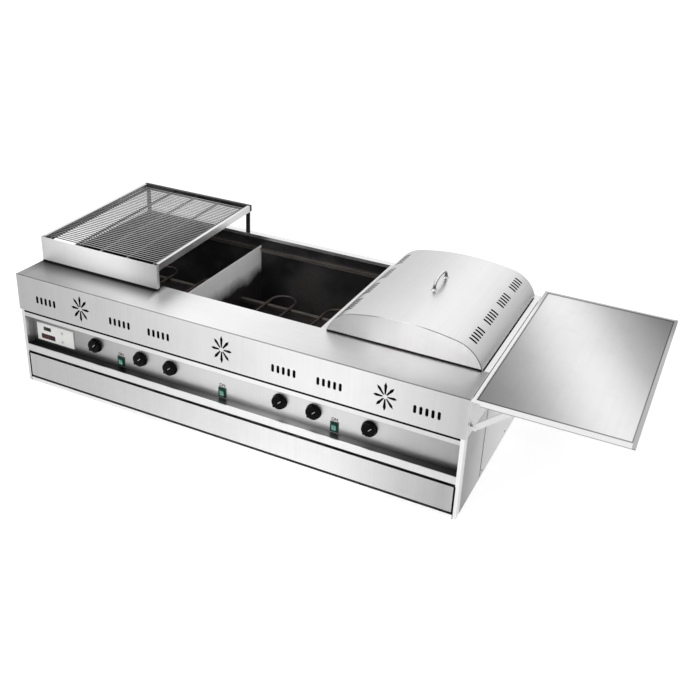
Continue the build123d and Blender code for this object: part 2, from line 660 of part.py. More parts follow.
def rack():
    panel = block(rackX0, rackX1, rackY0, rackY0 + SHEET, HEIGHT, rackTop)
    for x0 in (rackX0, rackX1 - SHEET):
        panel += block(x0, x0 + SHEET, rackY0 + SHEET, rackY0 + RACK_RETURN, HEIGHT, rackTop)
    save("rack_front_panel", panel)
    start = RACK_RETURN + FIT + RACK_RAIL_HEIGHT * sin(rackTilt)
    end = (rackRear - rackY0) / cos(rackTilt)
    bar_front = end - RACK_BAR_DEPTH
    rails = []
    for x0 in (rackX0, rackX1 - RACK_RAIL_WIDTH):
        rail = block(x0, x0 + RACK_RAIL_WIDTH, start, bar_front, -RACK_RAIL_HEIGHT, 0)
        rails.append(first_solid(tilted(rail)))
    save("rack_side_rails", rails)
    frame = tilted(block(rackX0, rackX1, bar_front, end, -RACK_RAIL_HEIGHT, 0))
    leg_y = rackRear - RACK_BAR_DEPTH / 2 + RACK_RAIL_HEIGHT * sin(rackTilt) / 2
    leg_top = rackTop + RACK_RISE - RACK_RAIL_HEIGHT / 2
    for x0 in (rackX0 + RACK_LEG_INSET, rackX1 - RACK_LEG_INSET - RACK_LEG_WIDTH):
        frame += block(x0, x0 + RACK_LEG_WIDTH, leg_y - RACK_LEG_THICK / 2, leg_y + RACK_LEG_THICK / 2,
                       HEIGHT, leg_top)
    save("rack_rear_frame", frame)
    x0, x1 = rackX0 + RACK_RAIL_WIDTH, rackX1 - RACK_RAIL_WIDTH
    wires = int((bar_front - start - 2 * WIRE_MARGIN) / WIRE_PITCH)
    first = start + (bar_front - start - wires * WIRE_PITCH) / 2
    pieces = []
    for i in range(wires + 1):
        y = first + i * WIRE_PITCH
        pieces.append(rod(WIRE_RADIUS, (x0, y, -WIRE_DROP), (x1, y, -WIRE_DROP)))
    bar_top = -WIRE_DROP - WIRE_RADIUS / 2
    half = CROSS_BAR_WIDTH / 2
    step = (x1 - x0 - 2 * WIRE_MARGIN) / (CROSS_BARS - 1)
    for i in range(CROSS_BARS):
        x = x0 + WIRE_MARGIN + i * step
        pieces.append(block(x - half, x + half, start, bar_front, bar_top - CROSS_BAR_HEIGHT, bar_top))
    grate = pieces[0].fuse(*pieces[1:])
    save("rack_grate", tilted(grate))


# Shelf, its hinge and its two stays
shelfX0 = xCowl + SHELF_GAP
shelfX1 = shelfX0 + SHELF_WIDTH
shelfY0 = yFront
shelfY1 = shelfY0 + SHELF_DEPTH
shelfFace = HEIGHT - SHELF_RIM_HEIGHT
shelfUnder = shelfFace - SHEET
hingeX = xCowl + SHEET + HINGE_GAP + HINGE_RADIUS
hingeZ = shelfUnder - FIT - HINGE_RADIUS
hingedBack = min(yBack, shelfY1)
hingeY0 = yFront + HINGE_MARGIN
hingeY1 = hingedBack - HINGE_MARGIN
knuckle = (hingeY1 - hingeY0) / HINGE_KNUCKLES


def barrels(first):
    """Every second knuckle of the hinge, starting at the one given."""
    bodies = []
    for i in range(first, HINGE_KNUCKLES, 2):
        y0 = hingeY0 + i * knuckle + HINGE_GAP / 2
        y1 = y0 + knuckle - HINGE_GAP
        bodies.append((y0, y1, rod(HINGE_RADIUS, (hingeX, y0, hingeZ), (hingeX, y1, hingeZ))))
    return bodies


def shelf():
    pin = (hingeX, hingeY0 - HINGE_PIN_END, hingeZ), (hingeX, hingeY1 + HINGE_PIN_END, hingeZ)
    bore = rod(HINGE_PIN_RADIUS + SEAT, *pin)
    leaf = block(xCowl, xCowl + SHEET, hingeY0, hingeY1, hingeZ - HINGE_LEAF, hingeZ)
    tab_top = hingeZ - HINGE_PIN_RADIUS - SHEET
    for y0, y1, barrel in barrels(0):
        leaf += barrel + block(xCowl, hingeX, y0, y1, hingeZ - HINGE_RADIUS, tab_top)
    save("hinge_leaf", leaf - bore)
    save("hinge_pin", rod(HINGE_PIN_RADIUS, *pin))
    top = block(shelfX0, shelfX1, shelfY0, shelfY1, shelfUnder, HEIGHT)
    top -= block(shelfX0 + SHELF_RIM, shelfX1 - SHELF_RIM, shelfY0 + SHELF_RIM, shelfY1 - SHELF_RIM,
                 shelfFace, HEIGHT)
    low = HEIGHT - SHELF_SKIRT
    top += block(shelfX0 + SHELF_SKIRT_START, shelfX1, shelfY0, shelfY0 + SHEET, low, shelfUnder)
    top += block(shelfX0 + SHELF_SKIRT_START, shelfX1, shelfY1 - SHEET, shelfY1, low, shelfUnder)
    top += block(shelfX1 - SHEET, shelfX1, shelfY0, shelfY1, low, shelfUnder)
    for y0, y1, barrel in barrels(1):
        top += barrel + block(hingeX - HINGE_PIN_RADIUS, hingeX + HINGE_RADIUS, y0, y1, hingeZ, shelfUnder)
    save("shelf_top", top - bore)
    stays()


def stays():
    """Flat bars that turn on pins at the cabinet's end, with their round tips under the shelf."""
    pivot_x = xCowl + SHEET + STAY_CLEAR + STAY_RADIUS
    rise = STAY_LENGTH * sin(radians(STAY_ANGLE))
    pivot_z = shelfUnder - FIT - STAY_RADIUS - rise
    brackets = []
    for name, y in (("front_stay", yFront + STAY_END_MARGIN), ("rear_stay", hingedBack - STAY_END_MARGIN)):
        face = Plane((pivot_x, y + STAY_THICK / 2, pivot_z), x_dir=(1, 0, 0), z_dir=(0, -1, 0))
        slot = Pos(STAY_LENGTH / 2, 0) * SlotCenterToCenter(STAY_LENGTH, 2 * STAY_RADIUS)
        bar = extrude(face * (Rot(0, 0, STAY_ANGLE) * slot), amount=STAY_THICK)
        y0 = y - STAY_THICK / 2 - FIT - EAR_THICK
        y1 = y + STAY_THICK / 2 + FIT + EAR_THICK
        pin = (pivot_x, y0, pivot_z), (pivot_x, y1, pivot_z)
        save(name, bar - rod(STAY_PIN_RADIUS + SEAT, *pin))
        low, high = pivot_z - EAR_HEIGHT / 2, pivot_z + EAR_HEIGHT / 2
        bracket = block(xCowl, xCowl + SHEET, y0 - EAR_THICK, y1 + EAR_THICK, low, high)
        low, high = pivot_z - EAR_HEIGHT / 4, pivot_z + EAR_HEIGHT / 4
        for ear in (y0, y1 - EAR_THICK):
            bracket += block(xCowl, pivot_x + STAY_RADIUS, ear, ear + EAR_THICK, low, high)
        bracket += rod(STAY_PIN_RADIUS, *pin)
        brackets.append(first_solid(bracket))
    save("stay_brackets", brackets)


cabinet()
cowl()
wells_and_walls()
heating()
front_frame()
drawer()
controls()
lid()
rack()
shelf()
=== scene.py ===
import bmesh
import bpy
import numpy as np
from mathutils import Color, Matrix, Vector


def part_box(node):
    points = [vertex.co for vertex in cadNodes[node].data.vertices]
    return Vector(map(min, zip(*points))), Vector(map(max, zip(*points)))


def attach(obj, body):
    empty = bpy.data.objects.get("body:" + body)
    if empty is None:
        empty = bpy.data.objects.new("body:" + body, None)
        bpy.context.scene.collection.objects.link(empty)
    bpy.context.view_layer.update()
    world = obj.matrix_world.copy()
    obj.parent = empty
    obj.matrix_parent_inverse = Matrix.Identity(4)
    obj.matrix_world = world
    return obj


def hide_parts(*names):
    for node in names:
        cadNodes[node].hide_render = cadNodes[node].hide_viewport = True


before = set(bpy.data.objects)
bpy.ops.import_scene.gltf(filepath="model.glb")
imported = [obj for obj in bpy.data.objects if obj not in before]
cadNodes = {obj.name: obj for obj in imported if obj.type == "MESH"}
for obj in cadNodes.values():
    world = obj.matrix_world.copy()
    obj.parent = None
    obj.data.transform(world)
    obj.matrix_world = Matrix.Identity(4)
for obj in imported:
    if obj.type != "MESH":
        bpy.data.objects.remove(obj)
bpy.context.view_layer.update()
mm = 0.001
white = (1.0, 1.0, 1.0, 1.0)
print("frame loaded with", len(cadNodes), "nodes")


# Node helpers: every input takes a plain value or the socket to link
def setInputs(tree, node, inputs):
    for key, value in inputs.items():
        if isinstance(value, bpy.types.NodeSocket):
            tree.links.new(value, node.inputs[key])
        else:
            node.inputs[key].default_value = value


def addNode(tree, kind, inputs=None, **settings):
    node = tree.nodes.new(kind)
    for key, value in settings.items():
        setattr(node, key, value)
    setInputs(tree, node, inputs or {})
    return node


def calc(tree, operation, first, second=0.0):
    return addNode(tree, "ShaderNodeMath", {0: first, 1: second}, operation=operation).outputs[0]


def vectorCalc(tree, operation, first, second):
    node = addNode(tree, "ShaderNodeVectorMath", {0: first, 1: second}, operation=operation)
    return node.outputs["Value" if operation == "DOT_PRODUCT" else "Vector"]


def splitAxes(tree, vector):
    return addNode(tree, "ShaderNodeSeparateXYZ", {0: vector}).outputs


def noise(tree, place, scale, detail):
    inputs = {"Vector": place, "Scale": scale, "Detail": detail}
    return addNode(tree, "ShaderNodeTexNoise", inputs).outputs["Fac"]


def fade(tree, value, low, high, atLow=0.0, atHigh=1.0, shape="SMOOTHSTEP"):  # a step between two places
    inputs = {"Value": value, "From Min": low, "From Max": high, "To Min": atLow, "To Max": atHigh}
    return addNode(tree, "ShaderNodeMapRange", inputs, interpolation_type=shape).outputs[0]


def fadeFrom(tree, value, edge, step):  # step: its two ends in mm from the edge, and the value at each
    begin, end, atBegin, atEnd = step
    return fade(tree, value, edge + begin * mm, edge + end * mm, atBegin, atEnd)


noiseSpan = (0.3, 0.7)  # most of a noise lies between these


def drawnOut(tree, value, ends):  # a noise drawn out between two values
    return fade(tree, value, *noiseSpan, *ends)


whiteTone = 255.0


def linear(tone):  # a screen tone of 0 to 255 as the shader's linear value
    return Color([tone / whiteTone] * 3).from_srgb_to_scene_linear().r


def toneRamp(tree, value, stops, tint=(1.0, 1.0, 1.0)):  # stops are (place from 0 to 1, screen tone)
    ramp = addNode(tree, "ShaderNodeValToRGB", {"Fac": value})
    ramp.color_ramp.interpolation = "CARDINAL"
    while len(ramp.color_ramp.elements) < len(stops):
        ramp.color_ramp.elements.new(0.5)
    for element, (place, tone) in zip(ramp.color_ramp.elements, stops):
        element.position = place
        element.color = [linear(tone) * part for part in tint] + [1.0]
    return ramp.outputs["Color"]


firstColour, secondColour, colourOut = 6, 7, 2  # the colour sockets of a Mix node


def scaled(tree, colour, factor, strength=1.0):  # a colour times a value or another colour
    inputs = {"Factor": strength, firstColour: colour, secondColour: factor}
    node = addNode(tree, "ShaderNodeMix", inputs, data_type="RGBA", blend_type="MULTIPLY")
    return node.outputs[colourOut]


def mixed(tree, mask, low, high):  # low where the mask is 0, high where it is 1
    inputs = {"Factor": mask, firstColour: low, secondColour: high}
    return addNode(tree, "ShaderNodeMix", inputs, data_type="RGBA").outputs[colourOut]


def startGroup(name, vectors, values, outputs):
    tree = bpy.data.node_groups.new(name, "ShaderNodeTree")
    for label in vectors:
        tree.interface.new_socket(label, in_out="INPUT", socket_type="NodeSocketVector")
    for label in values:
        tree.interface.new_socket(label, in_out="INPUT", socket_type="NodeSocketFloat")
    for label in outputs:
        tree.interface.new_socket(label, in_out="OUTPUT", socket_type="NodeSocketFloat")
    return tree, addNode(tree, "NodeGroupInput").outputs, addNode(tree, "NodeGroupOutput")


# Brushing: hair lines and broader streaks along one direction, as a shade around 1 and a height
brushingLook = dict(hair=(1.0, 3.0), streak=(0.16, 2.0))  # noises here and below: scale and detail


def makeBrushing():
    tree, given, out = startGroup("brushing", ["Vector"], ["Strength"], ["Shade", "Height"])
    hair = noise(tree, given["Vector"], *brushingLook["hair"])
    streak = noise(tree, given["Vector"], *brushingLook["streak"])
    offMiddle = calc(tree, "SUBTRACT", calc(tree, "ADD", hair, streak), 1.0)
    swing = calc(tree, "MULTIPLY", offMiddle, given["Strength"])
    setInputs(tree, out, {"Shade": calc(tree, "ADD", swing, 1.0), "Height": hair})
    return tree


# Handling: cloudy wipe marks and sparse finger smears, as a mask
handlingLook = dict(cloud=(5.0, 4.0), cloudSpan=(0.4, 0.75), smear=(22.0, 2.0), smearSpan=(0.58, 0.72),
                    smearShare=0.4)


def makeHandling():
    look = handlingLook
    tree, given, out = startGroup("handling", ["Vector"], ["Amount"], ["Mask"])
    cloud = fade(tree, noise(tree, given["Vector"], *look["cloud"]), *look["cloudSpan"])
    smear = fade(tree, noise(tree, given["Vector"], *look["smear"]), *look["smearSpan"])
    both = calc(tree, "ADD", cloud, calc(tree, "MULTIPLY", smear, look["smearShare"]))
    setInputs(tree, out, {"Mask": calc(tree, "MULTIPLY", both, given["Amount"])})
    return tree


# Soot: full below the low height and gone above the high one, with a ragged edge
sootLook = dict(ragged=(14.0, 5.0), raggedHigh=50.0)


def makeSoot():
    look = sootLook
    tree, given, out = startGroup("soot", ["Vector"], ["Low", "High"], ["Mask"])
    ragged = calc(tree, "SUBTRACT", noise(tree, given["Vector"], *look["ragged"]), 0.5)
    shift = calc(tree, "MULTIPLY", ragged, look["raggedHigh"] * mm)
    height = calc(tree, "ADD", splitAxes(tree, given["Vector"])["Z"], shift)
    setInputs(tree, out, {"Mask": fade(tree, height, given["Low"], given["High"], 1.0, 0.0, "LINEAR")})
    return tree


# Speckle: fine moulded or enamelled grain, as a value around 0.5 and a height
speckleDetail = 3.0


def makeSpeckle():
    tree, given, out = startGroup("speckle", ["Vector"], ["Size"], ["Value", "Height"])
    grain = noise(tree, given["Vector"], given["Size"], speckleDetail)
    pits = addNode(tree, "ShaderNodeTexVoronoi", {"Vector": given["Vector"], "Scale": given["Size"]})
    setInputs(tree, out, {"Value": grain, "Height": calc(tree, "ADD", grain, pits.outputs["Distance"])})
    return tree


# Edge wear: 1 where two faces of a sheet's box meet, where the middle one of the three distances is small
wearLook = dict(chips=(120.0, 3.0), reach=(0.4, 1.4))


def makeEdgeWear():
    tree, given, out = startGroup("edgeWear", ["Vector", "Low", "High"], ["Width"], ["Mask"])
    fromLow = vectorCalc(tree, "SUBTRACT", given["Vector"], given["Low"])
    fromHigh = vectorCalc(tree, "SUBTRACT", given["High"], given["Vector"])
    axes = splitAxes(tree, vectorCalc(tree, "MINIMUM", fromLow, fromHigh))
    less = calc(tree, "MINIMUM", axes["X"], axes["Y"])
    more = calc(tree, "MAXIMUM", axes["X"], axes["Y"])
    middle = calc(tree, "MAXIMUM", less, calc(tree, "MINIMUM", more, axes["Z"]))
    chips = noise(tree, given["Vector"], *wearLook["chips"])
    reach = calc(tree, "MULTIPLY", given["Width"], drawnOut(tree, chips, wearLook["reach"]))
    setInputs(tree, out, {"Mask": fade(tree, middle, 0.0, reach, 1.0, 0.0, "LINEAR")})
    return tree


brushing = makeBrushing()
handling = makeHandling()
soot = makeSoot()
speckle = makeSpeckle()
edgeWear = makeEdgeWear()


def fillGroup(tree, group, inputs):
    return addNode(tree, "ShaderNodeGroup", inputs, node_tree=group).outputs


def marksOn(tree, place, amount):
    return fillGroup(tree, handling, {"Vector": place, "Amount": amount})["Mask"]


def specksOn(tree, place, size):
    return fillGroup(tree, speckle, {"Vector": place, "Size": size})


def startMaterial(name):
    material = bpy.data.materials.new(name)
    material.use_nodes = True
    tree = material.node_tree
    place = addNode(tree, "ShaderNodeTexCoord").outputs["Object"]
    return material, tree, tree.nodes["Principled BSDF"], place


def bumped(tree, height, strength, depth):
    inputs = {"Height": height, "Strength": strength, "Distance": depth * mm}
    return addNode(tree, "ShaderNodeBump", inputs).outputs["Normal"]


print("shared effects made")


# Faces that need more than a run of tones.
# Their steps are (begin, end, shade at begin, shade at end), with begin and end in mm from an edge.

# Painted shade: the recessed panel darkens towards its ledge and under the cowl
panelLook = dict(foot=(-4.0, 21.0, 0.42, 1.0), head=(70.0, 102.0, 1.0, 0.9))


def panelShade(tree, place, colour):
    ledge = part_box("drawer_rail")[1][2]
    height = splitAxes(tree, place)["Z"]
    colour = scaled(tree, colour, fadeFrom(tree, height, ledge, panelLook["foot"]))
    return scaled(tree, colour, fadeFrom(tree, height, ledge, panelLook["head"]))


# The ledge on top of the rail lies in shadow, deepest at its ends, and its lower lip in the drawer's gap
railLook = dict(top=(-1.2, -0.4, 0.0, 1.0), front=(1.0, 3.0, 0.0, 1.0), lip=(2.6, 3.4, 0.02, 1.0),
                lightAt=180.0, perMetre=1.2, tones=[(0.0, 140), (0.3, 88), (0.62, 46), (0.95, 14)])


def railShade(tree, place, colour):
    look = railLook
    low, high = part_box("drawer_rail")
    axes = splitAxes(tree, place)
    ledge = calc(tree, "MULTIPLY", fadeFrom(tree, axes["Z"], high[2], look["top"]),
                 fadeFrom(tree, axes["Y"], low[1], look["front"]))
    ends = calc(tree, "ABSOLUTE", calc(tree, "SUBTRACT", axes["X"], look["lightAt"] * mm))
    dark = toneRamp(tree, calc(tree, "MULTIPLY", ends, look["perMetre"]), look["tones"])
    return scaled(tree, mixed(tree, ledge, colour, dark), fadeFrom(tree, axes["Z"], low[2], look["lip"]))


# Painted shadow: the header is darkened in a band right under the cowl's lower edge
headerShadow = (-9.2, -8.2, 1.0, 0.01)


def headerShade(tree, place, colour):
    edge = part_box("upper_front_panel")[0][2]
    return scaled(tree, colour, fadeFrom(tree, splitAxes(tree, place)["Z"], edge, headerShadow))


# Painted shade: the posts' inner edges are darkened where they border the gap beside the drawer
postLook = dict(inner=(5.5, 6.5, 0.03, 1.0), above=(2.0, 4.0, 0.0, 1.0))


def postShade(tree, place, colour):
    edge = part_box("drawer_front")[1]
    axes = splitAxes(tree, place)
    inner = fadeFrom(tree, calc(tree, "ABSOLUTE", axes["X"]), edge[0], postLook["inner"])
    above = fadeFrom(tree, axes["Z"], edge[2], postLook["above"])
    return scaled(tree, colour, calc(tree, "MAXIMUM", inner, above))


# Painted shade: a dark line along the deck's front fold, and a painted shadow on the deck in front of the
# rack
deckLook = dict(fold=(3.5, 5.0, 0.42, 1.0), near=(-92.0, 2.0, 1.0, 0.1), foot=(-18.0, -1.0, 1.0, 0.2),
                beside=(-12.0, 22.0, 0.0, 1.0))


def deckShade(tree, place, colour):
    look = deckLook
    axes = splitAxes(tree, place)
    rackLow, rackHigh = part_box("rack_front_panel")
    fold = fadeFrom(tree, axes["Y"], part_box("front_deck")[0][1], look["fold"])
    near = fadeFrom(tree, axes["Y"], rackLow[1], look["near"])
    foot = fadeFrom(tree, axes["Y"], rackLow[1], look["foot"])
    beside = fadeFrom(tree, axes["X"], rackHigh[0], look["beside"])
    # the rack's painted shadow on the deck, darkest at the rack's foot and gone beside it
    dull = calc(tree, "MAXIMUM", calc(tree, "MULTIPLY", near, foot), beside)
    return scaled(tree, scaled(tree, colour, fold), dull)


# Painted light and shade on the shelf: a pale rim, darker along the back, on the right edge and on the skirt
# below, and a fine painted dark line where the top steps down inside it, widened along the front as a painted
# shadow under the front rim
shelfLook = dict(rim=9.0, hingeGap=0.5, border=(0.2, 0.6, 1.0, 0.0), line=(3.0, 4.8, 0.3, 1.0), frontLine=5.0,
                 tones=[(0.0, 236), (0.9, 236), (1.0, 190)], outer=(-0.5, 0.5, 1.0, 0.55),
                 foot=(-10.5, -8.5, 0.45, 1.0))


def shelfShade(tree, place, colour):
    look = shelfLook
    low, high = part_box("shelf_top")
    axes = splitAxes(tree, place)
    rim = look["rim"] * mm
    gapLeft = calc(tree, "SUBTRACT", axes["X"], low[0] + look["hingeGap"] * mm + rim)
    gapRight = calc(tree, "SUBTRACT", high[0] - rim, axes["X"])
    gapFront = calc(tree, "SUBTRACT", axes["Y"], low[1] + rim)
    gapBack = calc(tree, "SUBTRACT", high[1] - rim, axes["Y"])
    inside = calc(tree, "MINIMUM", calc(tree, "MINIMUM", gapLeft, gapRight),
                  calc(tree, "MINIMUM", gapFront, gapBack))
    stepped = calc(tree, "MINIMUM", inside, calc(tree, "SUBTRACT", gapFront, look["frontLine"] * mm))
    top = scaled(tree, colour, fadeFrom(tree, stepped, 0.0, look["line"]))
    pale = toneRamp(tree, fade(tree, axes["Y"], low[1], high[1]), look["tones"])
    pale = scaled(tree, pale, fadeFrom(tree, axes["X"], high[0] - rim, look["outer"]))
    pale = scaled(tree, pale, fadeFrom(tree, axes["Z"], high[2], look["foot"]))
    return mixed(tree, fadeFrom(tree, inside, 0.0, look["border"]), top, pale)


# Painted shade on the lid: a dark crease along the front seam away from the middle, and near black on its
# inside, slot walls and lower edges
lidLook = dict(seam=(1.6, 3.4, 0.3, 1.0), plainAt=-10.0, plain=(30.0, 110.0, 1.0, 0.0), axisDown=60.0,
               inner=(2.0, 40.0, 1.0, 0.0), within=(-6.0, -4.0, 1.0, 0.0), insideShade=(0.012, 0.010, 0.009, 1.0))


def lidShade(tree, place, colour):
    look = lidLook
    low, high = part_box("lid_shell")
    axes = splitAxes(tree, place)
    axis = ((low[0] + high[0]) / 2, (low[1] + high[1]) / 2, low[2] - look["axisDown"] * mm)
    seam = fadeFrom(tree, axes["Y"], low[1], look["seam"])
    aside = calc(tree, "ABSOLUTE", calc(tree, "SUBTRACT", axes["X"], axis[0] + look["plainAt"] * mm))
    plain = fadeFrom(tree, aside, 0.0, look["plain"])
    seamShaded = scaled(tree, colour, calc(tree, "MAXIMUM", seam, plain))
    # Painted shade: surfaces that face the lid's axis, its inside, slot walls and lower edges, go near black
    outward = vectorCalc(tree, "SUBTRACT", place, axis)
    level = vectorCalc(tree, "MULTIPLY", outward, (1.0, 0.0, 1.0))  # without its part along the axis
    facing = addNode(tree, "ShaderNodeTexCoord").outputs["Normal"]
    inner = fadeFrom(tree, vectorCalc(tree, "DOT_PRODUCT", level, facing), 0.0, look["inner"])
    fromMiddle = calc(tree, "ABSOLUTE", calc(tree, "SUBTRACT", axes["Y"], axis[1]))
    within = fadeFrom(tree, fromMiddle, high[1] - axis[1], look["within"])
    return mixed(tree, calc(tree, "MULTIPLY", inner, within), seamShaded, look["insideShade"])


# Painted shade: on the right side a fine dark line at the lap in front of the cover, and on both sides a
# painted contact shadow along the foot
sideLook = dict(before=(-3.4, -2.4, 1.0, 0.3), behind=(-0.4, 0.2, 0.0, 1.0), left=(-10.0, 10.0, 1.0, 0.0),
                foot=(2.0, 4.0, 0.35, 1.0))


def sideShade(tree, place, colour):
    look = sideLook
    axes = splitAxes(tree, place)
    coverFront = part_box("right_side_cover")[0][1]
    before = fadeFrom(tree, axes["Y"], coverFront, look["before"])
    lap = calc(tree, "MAXIMUM", before, fadeFrom(tree, axes["Y"], coverFront, look["behind"]))
    lap = calc(tree, "MAXIMUM", lap, fadeFrom(tree, axes["X"], 0.0, look["left"]))
    foot = fadeFrom(tree, axes["Z"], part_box("right_side_panel")[0][2], look["foot"])
    return scaled(tree, scaled(tree, colour, lap), foot)


# Soot climbs the partitions from below
partitionLook = dict(low=235.0, high=285.0, soot=(0.012, 0.010, 0.010, 1.0))


def partitionShade(tree, place, colour):
    look = partitionLook
    heights = {"Vector": place, "Low": look["low"] * mm, "High": look["high"] * mm}
    return mixed(tree, fillGroup(tree, soot, heights)["Mask"], colour, look["soot"])


# Straw and brown bloom on steel above the elements
heatLook = dict(cloud=(9.0, 3.0), span=(0.35, 0.65), straw=(0.9, 0.8, 0.66, 1.0),
                brown=(0.62, 0.52, 0.46, 1.0), strength=0.7)


def heatTint(tree, place, colour):
    look = heatLook
    cloud = fade(tree, noise(tree, place, *look["cloud"]), *look["span"])
    return scaled(tree, colour, mixed(tree, cloud, look["straw"], look["brown"]), look["strength"])


# Brushed steel sheet: painted reflection tones run along one direction as lighter and darker bands, the grain
# follows the sheet, hands leave marks
alongX, alongY = (1.0, 0.0, 0.0), (0.0, 1.0, 0.0)
grainUp, grainAlongX, grainAlongY = (650.0, 650.0, 9.0), (9.0, 650.0, 650.0), (650.0, 9.0, 650.0)
cabinetSpan, sideSpan, drawerSpan = (-0.75, 0.75), (-0.35, 0.35), (-0.73, 0.73)
lidSpan, rackSpan = (0.265, 0.732), (-0.748, -0.298)
sheetLook = dict(tint=(1.0, 0.993, 0.998), markDark=0.5, markRough=0.9, hairRough=0.12, bump=(0.12, 0.2),
                 rubWide=1.6, rubShare=0.5, rubSmooth=0.14, rubColour=(0.9, 0.9, 0.9, 1.0),
                 footFrom=0.8, footShade=0.02)


def steelSheet(name, nodes, tones, along=alongX, span=cabinetSpan, grain=grainUp, rough=0.34, brush=0.07,
               marks=0.08, metal=1.0, shading=None, rubbed=False, foot=None):
    look = sheetLook
    material, tree, shader, place = startMaterial(name)
    low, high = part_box(nodes[0])
    start, end = span
    # Painted reflection: a ramp of tones along one direction of the sheet
    spot = fade(tree, vectorCalc(tree, "DOT_PRODUCT", place, along), start, end, shape="LINEAR")
    stops = [((at - start) / (end - start), tone) for at, tone in tones]
    hairs = addNode(tree, "ShaderNodeMapping", {"Vector": place, "Scale": grain}).outputs[0]
    brushed = fillGroup(tree, brushing, {"Vector": hairs, "Strength": brush})
    touched = marksOn(tree, place, marks)
    colour = scaled(tree, toneRamp(tree, spot, stops, look["tint"]), brushed["Shade"])
    dark = calc(tree, "MULTIPLY", touched, look["markDark"])
    colour = scaled(tree, colour, calc(tree, "SUBTRACT", 1.0, dark))
    swing = calc(tree, "MULTIPLY", calc(tree, "SUBTRACT", brushed["Height"], 0.5), look["hairRough"])
    smeared = calc(tree, "MULTIPLY", touched, look["markRough"])
    worn = calc(tree, "ADD", calc(tree, "ADD", swing, rough), smeared)
    if rubbed:  # rubbed edges are paler and smoother
        box = {"Vector": place, "Low": low, "High": high, "Width": look["rubWide"] * mm}
        rub = fillGroup(tree, edgeWear, box)["Mask"]
        colour = mixed(tree, calc(tree, "MULTIPLY", rub, look["rubShare"]), colour, look["rubColour"])
        worn = calc(tree, "SUBTRACT", worn, calc(tree, "MULTIPLY", rub, look["rubSmooth"]))
    if shading:
        colour = shading(tree, place, colour)
    if foot:  # painted shadow: the turned-under lower edge is darkened as if in its own shadow
        step = (foot * look["footFrom"], foot, look["footShade"], 1.0)
        colour = scaled(tree, colour, fadeFrom(tree, splitAxes(tree, place)["Z"], low[2], step))
    setInputs(tree, shader, {"Base Color": colour, "Roughness": worn, "Metallic": metal,
                             "Normal": bumped(tree, brushed["Height"], *look["bump"])})
    return material


# The shelf's painted reflection tones run corner to corner, front left to back right, dark at both corners
# and brightest between
shelfLow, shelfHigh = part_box("shelf_top")
shelfWide, shelfLong = shelfHigh[0] - shelfLow[0], shelfHigh[1] - shelfLow[1]
shareWide, shareLong = 0.54, 0.46
acrossShelf = (shareWide / shelfWide, shareLong / shelfLong, 0.0)
shelfStart = acrossShelf[0] * shelfLow[0] + acrossShelf[1] * shelfLow[1]
shelfTones = [(0.0, 122), (0.26, 182), (0.5, 238), (0.72, 186), (1.0, 98)]
